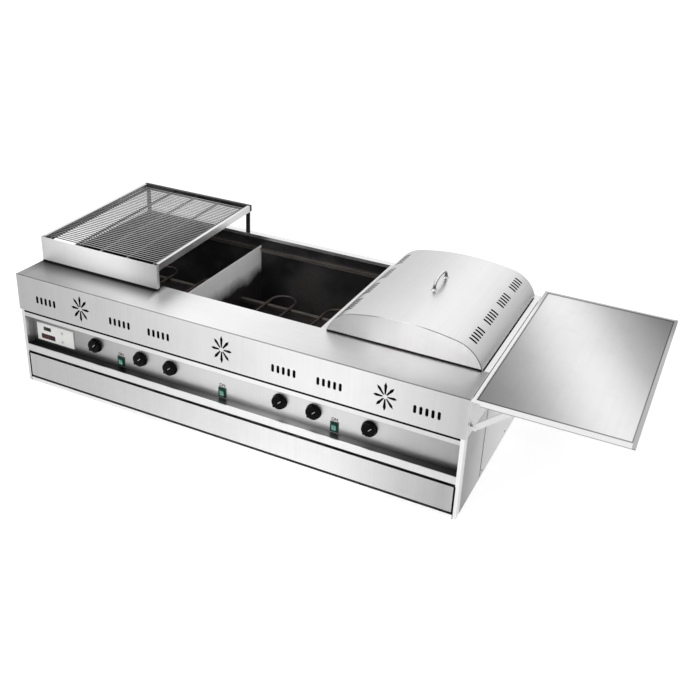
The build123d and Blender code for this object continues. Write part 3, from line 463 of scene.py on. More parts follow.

# Tones are painted reflection bands as (place in metres, screen tone); rubbed edges and painted foot shadows
# are those of the first node
sheets = {
    "cowlSteel": dict(
        nodes=["upper_front_panel"], rubbed=True,
        tones=[(-0.72, 182), (-0.42, 201), (-0.1, 221), (0.12, 233), (0.42, 241), (0.72, 203)]),
    "deckSteel": dict(
        nodes=["front_deck"], grain=grainAlongX, shading=deckShade, rubbed=True,
        tones=[(-0.72, 158), (-0.4, 208), (-0.2, 250), (0.11, 238), (0.45, 208), (0.73, 163)]),
    "rimSteel": dict(
        nodes=["left_cowl_side", "right_cowl_side", "rear_top_rail"], along=alongY, span=sideSpan,
        grain=grainAlongY, tones=[(-0.35, 236), (0.0, 244), (0.35, 240)]),
    "railSteel": dict(
        nodes=["drawer_rail"], shading=railShade,
        tones=[(-0.7, 206), (0.0, 240), (0.4, 244), (0.72, 222)]),
    "headerSteel": dict(
        nodes=["control_header"], shading=headerShade,
        tones=[(-0.7, 200), (-0.2, 232), (0.3, 244), (0.72, 214)]),
    "panelSteel": dict(
        nodes=["control_panel"], shading=panelShade,
        tones=[(-0.73, 122), (-0.4, 184), (-0.1, 214), (0.15, 226), (0.45, 218), (0.72, 166)]),
    "sillSteel": dict(
        nodes=["front_sill"], rubbed=True, tones=[(-0.7, 226), (0.0, 250), (0.7, 249)]),
    "postSteel": dict(
        nodes=["left_front_post", "right_front_post"], shading=postShade,
        tones=[(-0.75, 214), (0.0, 230), (0.75, 246)]),
    "drawerSteel": dict(
        nodes=["drawer_front"], span=drawerSpan, brush=0.1, foot=3.5, rubbed=True,
        tones=[(-0.7, 188), (-0.38, 206), (0.0, 230), (0.36, 239), (0.68, 190)]),
    "traySteel": dict(
        nodes=["drawer_floor", "drawer_ends", "drawer_sides", "drawer_runners"], span=drawerSpan,
        grain=grainAlongY, tones=[(-0.7, 196), (0.0, 216), (0.7, 200)]),
    "sideSteel": dict(
        nodes=["left_side_panel", "right_side_panel", "right_side_cover"], along=alongY, span=sideSpan,
        shading=sideShade, tones=[(-0.33, 162), (-0.15, 214), (0.02, 240), (0.33, 245)]),
    "backSteel": dict(
        nodes=["back_panel"], rubbed=True, tones=[(-0.7, 186), (-0.2, 218), (0.3, 226), (0.7, 196)]),
    "baseSteel": dict(
        nodes=["base_pan"], grain=grainAlongX, tones=[(-0.7, 180), (0.0, 204), (0.7, 186)]),
    "lidSteel": dict(
        nodes=["lid_shell"], span=lidSpan, grain=grainAlongY, rough=0.3, marks=0.06, shading=lidShade,
        tones=[(0.27, 200), (0.36, 206), (0.5, 230), (0.585, 240), (0.665, 226), (0.725, 182)]),
    "lidPlateSteel": dict(
        nodes=["lid_front_plate", "lid_back_plate"], span=lidSpan, foot=6.0, rubbed=True,
        tones=[(0.28, 138), (0.325, 152), (0.4, 178), (0.49, 209), (0.637, 245), (0.72, 249)]),
    "rackPanelSteel": dict(
        nodes=["rack_front_panel"], span=rackSpan, rough=0.32, metal=0.3, foot=6.0, rubbed=True,
        tones=[(-0.74, 214), (-0.62, 246), (-0.5, 255), (-0.4, 234), (-0.305, 181)]),
    "rackRailSteel": dict(
        nodes=["rack_side_rails"], along=alongY, span=(-0.228, 0.3335), grain=grainAlongY,
        tones=[(-0.2, 228), (0.1, 242), (0.33, 220)]),
    "wireSteel": dict(
        nodes=["rack_grate"], span=rackSpan, grain=grainAlongX, rough=0.26, marks=0.2,
        tones=[(-0.74, 116), (-0.5, 150), (-0.305, 126)]),
    "shelfSteel": dict(
        nodes=["shelf_top"], along=acrossShelf, span=(shelfStart, shelfStart + 1.0), grain=grainAlongY,
        rough=0.3, shading=shelfShade, tones=[(shelfStart + at, tone) for at, tone in shelfTones]),
    "partSteel": dict(
        nodes=["left_partition", "right_partition"], along=alongY, span=(-0.2, 0.33), rough=0.5, metal=0.0,
        shading=partitionShade, tones=[(-0.2, 246), (0.05, 250), (0.33, 244)]),
    "bracketSteel": dict(
        nodes=["hinge_leaf", "stay_brackets", "front_stay", "rear_stay"], along=alongY, span=(-0.35, 0.4),
        rough=0.3, tones=[(-0.33, 226), (0.0, 214), (0.35, 224)]),
    "hotSteel": dict(
        nodes=["skewer_rails", "element_supports"], grain=grainAlongX, rough=0.42, marks=0.3,
        shading=heatTint, tones=[(-0.7, 130), (0.0, 150), (0.7, 134)]),
}
finishes = {steelSheet(name, **sheet): sheet["nodes"] for name, sheet in sheets.items()}
print("steel finishes:", len(finishes))


# Vitreous black enamel of the wells: near black, with ash grey dusting and baked-on fat
enamelLook = dict(grain=260.0, ash=0.5, black=(0.010, 0.010, 0.011, 1.0), grey=(0.045, 0.040, 0.037, 1.0),
                  specks=(0.7, 1.3), rough=(0.32, 0.7), bump=(0.25, 0.3))


def makeEnamel():
    look = enamelLook
    material, tree, shader, place = startMaterial("wellEnamel")
    specks = specksOn(tree, place, look["grain"])
    ash = marksOn(tree, place, look["ash"])
    colour = mixed(tree, ash, look["black"], look["grey"])
    setInputs(tree, shader, {
        "Base Color": scaled(tree, colour, drawnOut(tree, specks["Value"], look["specks"])),
        "Roughness": fade(tree, ash, 0.0, look["ash"], *look["rough"]),
        "Normal": bumped(tree, specks["Height"], *look["bump"])})
    return material


# Element sheath: oxidised nickel alloy, dark grey with a brown bloom along its length
sheathLook = dict(bloom=(16.0, 4.0), bloomSpan=(0.35, 0.65), grain=700.0, grey=(0.05, 0.046, 0.045, 1.0),
                  brown=(0.11, 0.085, 0.07, 1.0), specks=(0.8, 1.2), rough=(0.42, 0.62), metal=0.6,
                  bump=(0.2, 0.15))


def makeSheath():
    look = sheathLook
    material, tree, shader, place = startMaterial("elementSheath")
    bloom = noise(tree, place, *look["bloom"])
    specks = specksOn(tree, place, look["grain"])
    colour = mixed(tree, fade(tree, bloom, *look["bloomSpan"]), look["grey"], look["brown"])
    setInputs(tree, shader, {
        "Base Color": scaled(tree, colour, drawnOut(tree, specks["Value"], look["specks"])),
        "Roughness": drawnOut(tree, bloom, look["rough"]),
        "Metallic": look["metal"],
        "Normal": bumped(tree, specks["Height"], *look["bump"])})
    return material


# Polished steel of the handle and pins: painted reflection, brighter where it faces up and dark where it
# faces down, with faint swirls from buffing
polishLook = dict(marks=0.3, dullAt=0.4, swirl=(240.0, 4.0), swing=(0.9, 1.05), rough=(0.07, 0.2),
                  bump=(0.03, 0.1), tones=[(0.0, 86), (0.45, 124), (0.8, 222), (1.0, 244)])


def makePolish():
    look = polishLook
    material, tree, shader, place = startMaterial("polishedSteel")
    touched = marksOn(tree, place, look["marks"])
    swirl = noise(tree, place, *look["swirl"])
    facing = addNode(tree, "ShaderNodeTexCoord").outputs["Normal"]
    colour = toneRamp(tree, splitAxes(tree, facing)["Z"], look["tones"])
    setInputs(tree, shader, {
        "Base Color": scaled(tree, colour, drawnOut(tree, swirl, look["swing"])),
        "Roughness": fade(tree, touched, 0.0, look["dullAt"], *look["rough"]),
        "Metallic": 1.0,
        "Normal": bumped(tree, swirl, *look["bump"])})
    return material


# Moulded plastics: a base colour with fine mould grain and a little wear in the gloss
plasticLook = dict(marks=0.6, dull=0.88, lift=0.003, specks=(0.93, 1.06), wear=0.12, bump=(0.06, 0.08))


def makePlastic(name, colour, rough, grain=900.0, gloss=0.5):
    look = plasticLook
    material, tree, shader, place = startMaterial(name)
    specks = specksOn(tree, place, grain)
    touched = marksOn(tree, place, look["marks"])
    dull = [part * look["dull"] + look["lift"] for part in colour[:3]] + [1.0]
    setInputs(tree, shader, {
        "Base Color": scaled(tree, mixed(tree, touched, colour, dull),
                             drawnOut(tree, specks["Value"], look["specks"])),
        "Roughness": fade(tree, touched, 0.0, look["marks"], rough, rough + look["wear"]),
        "Specular IOR Level": gloss,
        "Normal": bumped(tree, specks["Height"], *look["bump"])})
    return material


# Green lens: clear teal moulding, paler and faintly lit round its middle, from the piece's own attribute
lensLook = dict(grain=1100.0, rise=(0.1, 0.36), dip=(0.66, 0.9, 1.0, 0.5), teal=(0.005, 0.065, 0.049, 1.0),
                pale=(0.16, 0.40, 0.32, 1.0), unlit=(0.0, 0.006, 0.004, 1.0), lit=(0.05, 0.10, 0.08, 1.0),
                glow=0.7, specks=(0.9, 1.1), rough=(0.14, 0.24))


def makeLens():
    look = lensLook
    material, tree, shader, place = startMaterial("greenLens")
    middle = addNode(tree, "ShaderNodeAttribute", attribute_name="middle").outputs["Fac"]
    specks = specksOn(tree, place, look["grain"])
    window = calc(tree, "MULTIPLY", fade(tree, middle, *look["rise"]), fade(tree, middle, *look["dip"]))
    colour = mixed(tree, window, look["teal"], look["pale"])
    setInputs(tree, shader, {
        "Base Color": scaled(tree, colour, drawnOut(tree, specks["Value"], look["specks"])),
        "Emission Color": mixed(tree, window, look["unlit"], look["lit"]),
        "Emission Strength": look["glow"],
        "Roughness": drawnOut(tree, specks["Value"], look["rough"])})
    return material


# Display glass: black above, deep red below the gap between the two windows
glassLook = dict(gapUp=1.5, gap=(-1.0, 1.0, 1.0, 0.0), marks=0.8, black=(0.008, 0.009, 0.010, 1.0),
                 red=(0.030, 0.007, 0.008, 1.0), smear=(0.03, 0.03, 0.032, 1.0), rough=(0.08, 0.3),
                 gloss=0.15)


def makeGlass():
    look = glassLook
    material, tree, shader, place = startMaterial("displayGlass")
    low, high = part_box("display_windows")
    gapAt = (low[2] + high[2]) / 2 + look["gapUp"] * mm
    lower = fadeFrom(tree, splitAxes(tree, place)["Z"], gapAt, look["gap"])
    touched = marksOn(tree, place, look["marks"])
    colour = mixed(tree, lower, look["black"], look["red"])
    setInputs(tree, shader, {
        "Base Color": mixed(tree, touched, colour, look["smear"]),
        "Roughness": fade(tree, touched, 0.0, look["marks"], *look["rough"]),
        "Specular IOR Level": look["gloss"]})
    return material


# Lit and printed marks: one colour with the unevenness of ink or of a diffuser
markLook = dict(grain=1500.0, specks=(0.85, 1.15), rough=(0.45, 0.6))


def makeMark(name, colour, glow=0.0):
    look = markLook
    material, tree, shader, place = startMaterial(name)
    specks = specksOn(tree, place, look["grain"])
    ink = scaled(tree, colour, drawnOut(tree, specks["Value"], look["specks"]))
    setInputs(tree, shader, {"Base Color": ink, "Roughness": drawnOut(tree, specks["Value"], look["rough"])})
    if glow:
        setInputs(tree, shader, {"Emission Color": ink, "Emission Strength": glow})
    return material


polishedSteel = makePolish()
greenLens = makeLens()
knobPlastic = makePlastic("knobPlastic", (0.0022, 0.0022, 0.0025, 1.0), 0.1, gloss=0.06)
pointerPaint = makeMark("pointerPaint", (0.42, 0.42, 0.41, 1.0))
printInk = makeMark("printInk", (0.06, 0.02, 0.022, 1.0))
redDigits = makeMark("redDigits", (0.16, 0.022, 0.02, 1.0), 0.2)
greyDigits = makeMark("greyDigits", (0.06, 0.064, 0.068, 1.0), 0.1)

# Every node takes a finish
finishes.update({
    makeEnamel(): ["firebox_floor", "firebox_front_wall", "firebox_back_wall", "firebox_end_walls",
                   "rack_rear_frame"],
    makeSheath(): ["heating_elements"],
    polishedSteel: ["lid_handle", "hinge_pin"],
    knobPlastic: [f"knob_{number}" for number in range(1, 7)],
    makePlastic("housingPlastic", (0.004, 0.03, 0.024, 1.0), 0.3, gloss=0.3): ["switch_housings"],
    makePlastic("glandPlastic", (0.008, 0.008, 0.009, 1.0), 0.4): ["cable_gland"],
    makePlastic("casePlastic", (0.55, 0.53, 0.48, 1.0), 0.5): ["regulators"],
    greenLens: [f"rocker_{number}" for number in range(1, 4)],
    makePlastic("platePlastic", (0.86, 0.86, 0.85, 1.0), 0.38, grain=500.0): ["controller_body"],
    makeGlass(): ["display_windows"],
    makePlastic("buttonPlastic", (0.58, 0.58, 0.58, 1.0), 0.4): ["set_button_1", "set_button_2"],
})
for material, names in finishes.items():
    for name in names:
        for slot in cadNodes[name].material_slots:
            slot.material = material
bare = set(cadNodes) - {name for names in finishes.values() for name in names}
print("nodes without a finish:", sorted(bare))


# Mesh helpers: a grid of points becomes quads, and each row closes on itself
def gridFaces(rows, columns):
    row, column = np.meshgrid(np.arange(rows - 1), np.arange(columns), indexing="ij")
    after = (column + 1) % columns
    here, above = row * columns, (row + 1) * columns
    corners = [here + column, here + after, above + after, above + column]
    return np.stack(corners, axis=-1).reshape(-1, 4)


def fullTurn(count):
    return np.linspace(0.0, 2 * np.pi, count, endpoint=False)


def placePiece(name, mesh, body, standsFor=()):
    piece = bpy.data.objects.new(name, mesh)
    bpy.context.scene.collection.objects.link(piece)
    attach(piece, body)
    if standsFor:
        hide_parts(*standsFor)


weldGap, thinnest = 0.002 * mm, 0.001 * mm


def makePiece(name, parts, body, standsFor=(), sharp=40.0, spots=None):
    points, faces, finish = zip(*parts)  # each part is its points, faces and material
    starts = np.cumsum([0] + [len(part) for part in points])
    joined = np.concatenate([part + start for part, start in zip(faces, starts)])
    mesh = bpy.data.meshes.new(name)
    mesh.from_pydata(np.concatenate(points).tolist(), [], joined.tolist())
    materials = list(dict.fromkeys(finish))
    index = np.concatenate([np.full(len(part), materials.index(own)) for part, own in zip(faces, finish)])
    mesh.polygons.foreach_set("material_index", index.astype(np.int32))
    if spots is not None:
        mesh.attributes.new("middle", "FLOAT", "POINT").data.foreach_set("value", spots.astype(np.float32))
    work = bmesh.new()
    work.from_mesh(mesh)
    bmesh.ops.remove_doubles(work, verts=work.verts, dist=weldGap)
    bmesh.ops.dissolve_degenerate(work, edges=work.edges, dist=thinnest)
    bmesh.ops.recalc_face_normals(work, faces=work.faces)
    work.to_mesh(mesh)
    work.free()
    mesh.shade_smooth()
    mesh.set_sharp_from_angle(angle=np.radians(sharp))
    for material in materials:
        mesh.materials.append(material)
    placePiece(name, mesh, body, standsFor)


# Turned body: a profile of radius and depth spun about the axis that points at the viewer, -Y.
# Between two depths the radius dips as a cosine of the angle, which gives the flutes
def turned(profile, centre, around, count, dip, low, high):
    radius, depth = np.array(profile).T
    angle = fullTurn(around)
    ribbed = ((depth > low) & (depth < high))[:, None]
    reach = radius[:, None] - ribbed * dip * (0.5 + 0.5 * np.cos(count * angle))
    x = centre[0] + reach * np.sin(angle)
    z = centre[2] + reach * np.cos(angle)
    y = centre[1] - np.repeat(depth[:, None], around, axis=1)
    return np.stack([x, y, z], axis=-1).reshape(-1, 3), gridFaces(len(radius), around)


# Rounded bar: superellipse sections stacked along depth, shrinking over a rounded front edge to the middle
def roundedBar(centre, halfWide, halfTall, back, front, edge, power=3.0, around=64, rings=7, capRings=2):
    turn = np.linspace(0.0, np.pi / 2, rings)
    whole = min(halfWide, halfTall)
    cap = np.linspace(edge, whole, capRings + 1)[1:]
    inset = np.concatenate([[whole, 0.0], edge * (1 - np.cos(turn)), cap])[:, None]
    depth = np.concatenate([[back, back], front - edge + edge * np.sin(turn), np.full(capRings, front)])
    cosine, sine = np.cos(fullTurn(around)), np.sin(fullTurn(around))
    wide = np.sign(cosine) * np.abs(cosine) ** (2 / power)
    tall = np.sign(sine) * np.abs(sine) ** (2 / power)
    x = centre[0] + np.maximum(halfWide - inset, 0.0) * wide
    z = centre[2] + np.maximum(halfTall - inset, 0.0) * tall
    y = centre[1] - np.repeat(depth[:, None], around, axis=1)
    return np.stack([x, y, z], axis=-1).reshape(-1, 3), gridFaces(len(depth), around)


# Control knobs: a turned skirt and fluted drum, with a grip bar and its pointer line leaning to the right.
# The outline holds: share of the radius, mm off it, the level it starts from, mm in front of that level
knobLook = dict(skirt=4.5, grip=7.0, around=120, flutes=20, fluteDip=0.5, fluteFrom=0.6, fluteTo=-1.5,
                lean=45.0, barWide=10.0, barTall=0.8, barEdge=3.0, barRoot=-1.0, barFront=-0.3,
                pointerWide=2.2, pointerLong=13.0, pointerInset=1.2, pointerRoot=-1.0, pointerEdge=0.2)
knobOutline = [
    (0.0, 0.0, "panel", 0.4), (1.0, 0.8, "panel", 0.4), (1.0, 0.0, "panel", 1.2), (1.0, 0.0, "skirt", -2.2),
    (1.0, 0.5, "skirt", -0.9), (1.0, 1.6, "skirt", 0.0), (0.94, 0.0, "skirt", 0.2), (0.94, 0.3, "skirt", 1.0),
    (0.9071, 0.0, "drum", -2.6), (0.8836, 0.0, "drum", -1.0), (0.846, 0.0, "drum", -0.2),
    (0.7708, 0.0, "drum", 0.0), (0.376, 0.0, "drum", 0.3), (0.0, 0.0, "drum", 0.4)]


def makeKnob(number):
    look = knobLook
    low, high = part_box(f"knob_{number}")
    radius = (high[0] - low[0]) / 2
    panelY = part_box("control_panel")[0][1]
    centre = ((low[0] + high[0]) / 2, panelY, (low[2] + high[2]) / 2)
    depth = panelY - low[1]
    levels = dict(panel=0.0, skirt=look["skirt"] * mm, drum=depth - look["grip"] * mm)
    profile = [(radius * share - off * mm, levels[level] + ahead * mm)
               for share, off, level, ahead in knobOutline]
    body = turned(profile, centre, look["around"], look["flutes"], look["fluteDip"] * mm,
                  levels["skirt"] + look["fluteFrom"] * mm, levels["drum"] + look["fluteTo"] * mm)
    tall = radius * look["barTall"]
    bar = roundedBar(centre, look["barWide"] / 2 * mm, tall, levels["drum"] + look["barRoot"] * mm,
                     depth + look["barFront"] * mm, look["barEdge"] * mm)
    up = tall - (look["pointerLong"] / 2 + look["pointerInset"]) * mm
    pointer = roundedBar((centre[0], centre[1], centre[2] + up), look["pointerWide"] / 2 * mm,
                         look["pointerLong"] / 2 * mm, depth + look["pointerRoot"] * mm, depth,
                         look["pointerEdge"] * mm, power=6.0, around=24, rings=3)
    lean = np.array(Matrix.Rotation(np.radians(look["lean"]), 3, "Y"))
    for points in (bar[0], pointer[0]):
        points[:] = (points - centre) @ lean.T + centre
    parts = [body + (knobPlastic,), bar + (knobPlastic,), pointer + (pointerPaint,)]
    makePiece(f"control_knob_{number}", parts, f"knob_{number}", (f"knob_{number}",))


for number in range(1, 7):
    makeKnob(number)
print("knobs made")


# Rockers: a rounded pad leaning about its pivot, whose face dips in a shallow valley, a parabola of height
rockerLook = dict(half=10.4, out=5.5, inside=8.0, tilt=8.0, edge=1.2, clear=0.05, faceFrom=0.6)


def makeRocker(number):
    look = rockerLook
    low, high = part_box(f"rocker_{number}")
    housingLow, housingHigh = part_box("switch_housings")
    pivot = ((low[0] + high[0]) / 2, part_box("control_panel")[0][1], (housingLow[2] + housingHigh[2]) / 2)
    tilt = np.radians(look["tilt"])
    halfWide, halfTall = (high[0] - low[0]) / 2, (look["half"] - look["clear"]) * mm
    swell, back = look["half"] * np.sin(tilt) * mm, look["inside"] * mm
    front = look["out"] * mm + swell
    points, faces = roundedBar((0.0, 0.0, 0.0), halfWide, halfTall, -back, front, look["edge"] * mm,
                               power=9.0, around=72, rings=6, capRings=10)
    across, up = np.abs(points[:, 0]) / halfWide, np.abs(points[:, 2]) / halfTall
    facing = (back - points[:, 1]) / (back + front) > look["faceFrom"]
    points[:, 1] += swell * (1.0 - up ** 2) * facing
    middle = (1.0 - np.maximum(across, up)) * facing
    points = points @ np.array(Matrix.Rotation(tilt, 3, "X")).T + pivot
    makePiece(f"rocker_lens_{number}", [(points, faces, greenLens)], f"rocker_{number}",
              (f"rocker_{number}",), spots=middle)


for number in range(1, 4):
    makeRocker(number)
print("rockers made")


# Printed ON above each switch, a thin raised film of ink
printLook = dict(text="ON", size=13.0, film=0.08, rise=20.0, bold=0.45)


def makePrint(number):
    look = printLook
    low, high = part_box(f"rocker_{number}")
    film = look["film"] / 2 * mm
    curve = bpy.data.curves.new("onPrint", "FONT")
    curve.body = look["text"]
    curve.align_x = "CENTER"
    curve.size = look["size"] * mm
    curve.extrude = film
    curve.offset = look["bold"] * mm
    holder = bpy.data.objects.new("onPrint", curve)
    mesh = bpy.data.meshes.new_from_object(holder)
    bpy.data.objects.remove(holder)
    place = Vector(((low[0] + high[0]) / 2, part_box("control_panel")[0][1] - film,
                    (low[2] + high[2]) / 2 + look["rise"] * mm))
    mesh.transform(Matrix.Translation(place) @ Matrix.Rotation(np.pi / 2, 4, "X"))
    mesh.materials.clear()
    mesh.materials.append(printInk)
    placePiece(f"on_print_{number}", mesh, "cabinet")


for number in range(1, 4):
    makePrint(number)


# Display digits: seven bars each, a bar being a six-sided strip whose outline closes over a small height
digitLook = dict(bar=0.13, gap=0.05, slant=0.1, film=0.12, pitch=1.55)
digitBars = {"0": "abcdef", "1": "bc", "2": "abged", "5": "afgcd", "8": "abcdefg"}
barPlaces = dict(a=(0.5, 2.0, 0), b=(1.0, 1.5, 1), c=(1.0, 0.5, 1), d=(0.5, 0.0, 0), e=(0.0, 0.5, 1),
                 f=(0.0, 1.5, 1), g=(0.5, 1.0, 0))  # across, up, and 1 for an upright bar
displayRows = [dict(text="0250", left=9.0, edge="low", up=4.2, height=8.6, finish=redDigits),
               dict(text="180", left=8.5, edge="high", up=-9.8, height=6.6, finish=greyDigits)]


def digitPart(text, corner, height, finish):
    look = digitLook
    unit = height / 2
    half, tip = look["bar"], 0.5 - look["gap"]
    outline = np.array([(-tip, 0), (-tip + half, half), (tip - half, half), (tip, 0), (tip - half, -half),
                        (-tip + half, -half)])
    places = [(barPlaces[bar], column) for column, digit in enumerate(text) for bar in digitBars[digit]]
    centres = np.array([(across + column * look["pitch"], up) for (across, up, upright), column in places])
    turns = np.array([upright for (across, up, upright), column in places])[:, None, None]
    bars = np.where(turns == 1, outline[None, :, ::-1], outline[None]) + centres[:, None, :]
    x = corner[0] + (bars[..., 0] + look["slant"] * bars[..., 1]) * unit
    z = corner[2] + bars[..., 1] * unit
    levels = corner[1] - np.array([0.0, look["film"] * mm])
    points = np.stack([np.stack([x, np.full_like(x, level), z], axis=-1) for level in levels], axis=1)
    sides = len(outline)
    caps = np.array([(0, 1, 2, 3), (0, 3, 4, 5)])
    faces = np.concatenate([gridFaces(2, sides), caps, caps + sides])
    faces = faces[None] + 2 * sides * np.arange(len(bars))[:, None, None]
    return points.reshape(-1, 3), faces.reshape(-1, 4), finish


def makeDigits():
    low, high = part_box("display_windows")
    parts = []
    for row in displayRows:
        foot = dict(low=low, high=high)[row["edge"]][2] + row["up"] * mm
        corner = (low[0] + row["left"] * mm, low[1], foot)
        parts.append(digitPart(row["text"], corner, row["height"] * mm, row["finish"]))
    makePiece("display_digits", parts, "cabinet")


makeDigits()
print("marks and digits made")


# Bow handle: an arch on a half sine, its round section swelling into a wide foot at each end
handleLook = dict(bar=4.2, foot=6.0, flare=3.0, power=0.62, along=96, around=32, sharp=60.0)


def makeHandle():
    look = handleLook
    low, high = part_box("lid_handle")
    count = look["along"]
    t = np.linspace(0.0, 1.0, count)
    rise = high[2] - low[2] - look["bar"] * mm
    height = rise * np.sin(np.pi * t) ** look["power"]
    wide = (look["bar"] + look["foot"] * np.exp(-height / (look["flare"] * mm))) * mm
    reach = (high[1] - low[1]) / 2 - wide[0]
    y = (low[1] + high[1]) / 2 - reach * np.cos(np.pi * t)
    z = low[2] + height
    slopeY, slopeZ = np.gradient(y), np.gradient(z)
    slopeY[[0, -1]] = 0.0
    length = np.hypot(slopeY, slopeZ)
    ends = np.concatenate([[0], np.arange(count), [count - 1]])
    normalY, normalZ = (-slopeZ / length)[ends][:, None], (slopeY / length)[ends][:, None]
    radius = wide[ends] * np.concatenate([[0.0], np.ones(count), [0.0]])
    angle = fullTurn(look["around"])
    cosine, sine = radius[:, None] * np.cos(angle), radius[:, None] * np.sin(angle)
    points = np.stack([(low[0] + high[0]) / 2 + sine, y[ends][:, None] + cosine * normalY,
                       z[ends][:, None] + cosine * normalZ], axis=-1)
    points[..., 2] = np.clip(points[..., 2], low[2], high[2])
    arch = (points.reshape(-1, 3), gridFaces(len(ends), look["around"]), polishedSteel)
    makePiece("bow_handle", [arch], "lid", ("lid_handle",), sharp=look["sharp"])


makeHandle()
print("handle made")


# Screw heads: a shallow dome over radius and angle, sunk where a cross of two slots lies
screwLook = dict(radius=3.4, dome=1.5, rim=0.25, slot=0.55, slotDeep=0.7, slotLong=2.2, rings=12, around=32,
                 inset=14.0, hingeInset=28.0, hingeUp=9.0, leafThick=1.5, backCount=7, sideCount=3,
                 hingeCount=6)


def screwHeads(centres, axis):  # the heads look along the axis
    look = screwLook
    ring, angle = np.meshgrid(np.linspace(0.0, 1.0, look["rings"]), fullTurn(look["around"]), indexing="ij")
    radius = ring * look["radius"]
    across, up = radius * np.cos(angle), radius * np.sin(angle)
    narrow = np.minimum(np.abs(across), np.abs(up)) < look["slot"]
    sunk = narrow & (radius < look["slotLong"])
    height = look["dome"] * (1.0 - ring ** 2) + look["rim"] - look["slotDeep"] * sunk
    height[-1] = 0.0
    heads = np.zeros(ring.shape + (3,))
    heads[..., axis] = height * mm
    heads[..., (axis + 1) % 3] = across * mm
    heads[..., (axis + 2) % 3] = up * mm
    points = np.array(centres)[:, None, :] + heads.reshape(1, -1, 3)
    faces = gridFaces(look["rings"], look["around"])
    faces = faces[None] + ring.size * np.arange(len(centres))[:, None, None]
    return points.reshape(-1, 3), faces.reshape(-1, 4), polishedSteel


def between(low, high, axis, inset, count):
    return np.linspace(low[axis] + inset * mm, high[axis] - inset * mm, count)


def makeScrews():
    look = screwLook
    inset = look["inset"]
    low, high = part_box("back_panel")
    back = [(x, high[1], z) for z in between(low, high, 2, inset, 2)
            for x in between(low, high, 0, inset, look["backCount"])]
    low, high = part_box("right_side_cover")
    side = [(high[0], y, z) for z in between(low, high, 2, inset, 2)
            for y in between(low, high, 1, inset, look["sideCount"])]
    low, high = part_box("hinge_leaf")
    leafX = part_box("right_cowl_side")[1][0] + look["leafThick"] * mm
    hinge = [(leafX, y, low[2] + look["hingeUp"] * mm)
             for y in between(low, high, 1, look["hingeInset"], look["hingeCount"])]
    rows = [("back_screws", back, 1), ("side_cover_screws", side, 0), ("hinge_screws", hinge, 0)]
    for name, centres, axis in rows:
        makePiece(name, [screwHeads(centres, axis)], "cabinet")


makeScrews()
print("screws made")


# Floor: nearly white, lifted to white for the camera and partly for reflections
floorLook = dict(size=30.0, cloud=(0.6, 2.0), tones=(0.79, 0.81), rough=0.9, seen=0.58, mirrored=0.3)


def makeStage():
    look = floorLook
    size = look["size"]
    mesh = bpy.data.meshes.new("floor")
    corners = [(-size, -size, 0), (size, -size, 0), (size, size, 0), (-size, size, 0)]
    mesh.from_pydata(corners, [], [(0, 1, 2, 3)])
    floor = bpy.data.objects.new("floor", mesh)
    bpy.context.scene.collection.objects.link(floor)
    material, tree, shader, place = startMaterial("paleFloor")
    rays = addNode(tree, "ShaderNodeLightPath").outputs
    seen = calc(tree, "MAXIMUM", rays["Is Camera Ray"], rays["Is Transmission Ray"])
    lift = calc(tree, "MAXIMUM", calc(tree, "MULTIPLY", seen, look["seen"]),
                calc(tree, "MULTIPLY", rays["Is Glossy Ray"], look["mirrored"]))
    setInputs(tree, shader, {
        "Base Color": drawnOut(tree, noise(tree, place, *look["cloud"]), look["tones"]),
        "Roughness": look["rough"],
        "Specular IOR Level": 0.0,
        "Emission Color": white,
        "Emission Strength": lift})
    mesh.materials.append(material)


# World: white where it is seen or mirrored, and a weaker fill on the object
worldLook = dict(fill=0.55, seenExtra=0.45)


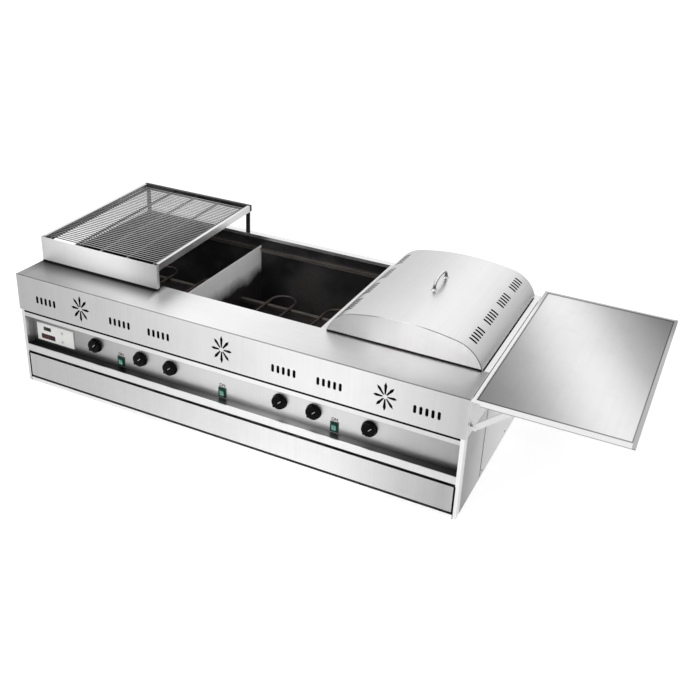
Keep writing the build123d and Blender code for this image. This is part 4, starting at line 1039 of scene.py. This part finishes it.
def makeWorld():
    world = bpy.data.worlds.new("studio")
    bpy.context.scene.world = world
    world.use_nodes = True
    tree = world.node_tree
    rays = addNode(tree, "ShaderNodeLightPath").outputs
    seen = calc(tree, "MAXIMUM", rays["Is Camera Ray"], rays["Is Glossy Ray"])
    seen = calc(tree, "MAXIMUM", seen, rays["Is Transmission Ray"])
    level = calc(tree, "ADD", calc(tree, "MULTIPLY", seen, worldLook["seenExtra"]), worldLook["fill"])
    setInputs(tree, tree.nodes["Background"], {"Color": white, "Strength": level})


lamps = {
    "keyLamp": dict(place=(-1.6, -2.6, 3.2), aim=(0.1, 0.0, 0.2), size=4.2, power=60.0),
    "fillLamp": dict(place=(3.4, -2.0, 2.6), aim=(0.3, 0.0, 0.2), size=3.0, power=26.0),
    "glintLamp": dict(place=(-0.6, -2.4, 2.0), aim=(0.0, -0.3, 0.2), size=0.11, power=5.0),
    "rightGlintLamp": dict(place=(2.0, -1.9, 1.6), aim=(0.0, -0.3, 0.2), size=0.08, power=2.5),
}


def turnTo(place, aim):
    return (Vector(aim) - Vector(place)).to_track_quat("-Z", "Y")


def makeLamps():
    for name, lamp in lamps.items():
        light = bpy.data.lights.new(name, "AREA")
        light.size = lamp["size"]
        light.energy = lamp["power"]
        holder = bpy.data.objects.new(name, light)
        holder.location = lamp["place"]
        holder.rotation_euler = turnTo(lamp["place"], lamp["aim"]).to_euler()
        bpy.context.scene.collection.objects.link(holder)


# Camera: place, aim, roll and shift were fitted to points of the photograph
cameraLook = dict(place=(1.26648, -2.29157, 1.61702), aim=(0.01549, 0.42359, 0.2), roll=2.573, lens=47.185,
                  shift=(0.01493, -0.08684), sensor=36.0, clipEnd=200.0)


def makeCamera():
    look = cameraLook
    data = bpy.data.cameras.new("camera")
    data.lens = look["lens"]
    data.sensor_width = look["sensor"]
    data.shift_x, data.shift_y = look["shift"]
    data.clip_end = look["clipEnd"]
    camera = bpy.data.objects.new("camera", data)
    turn = turnTo(look["place"], look["aim"]).to_matrix()
    roll = Matrix.Rotation(np.radians(look["roll"]), 3, "Z")
    camera.matrix_world = Matrix.Translation(look["place"]) @ (turn @ roll).to_4x4()
    bpy.context.scene.collection.objects.link(camera)
    bpy.context.scene.camera = camera


makeStage()
makeWorld()
makeLamps()
makeCamera()
bpy.context.scene.view_settings.view_transform = "Standard"
print("stage, light and camera set")
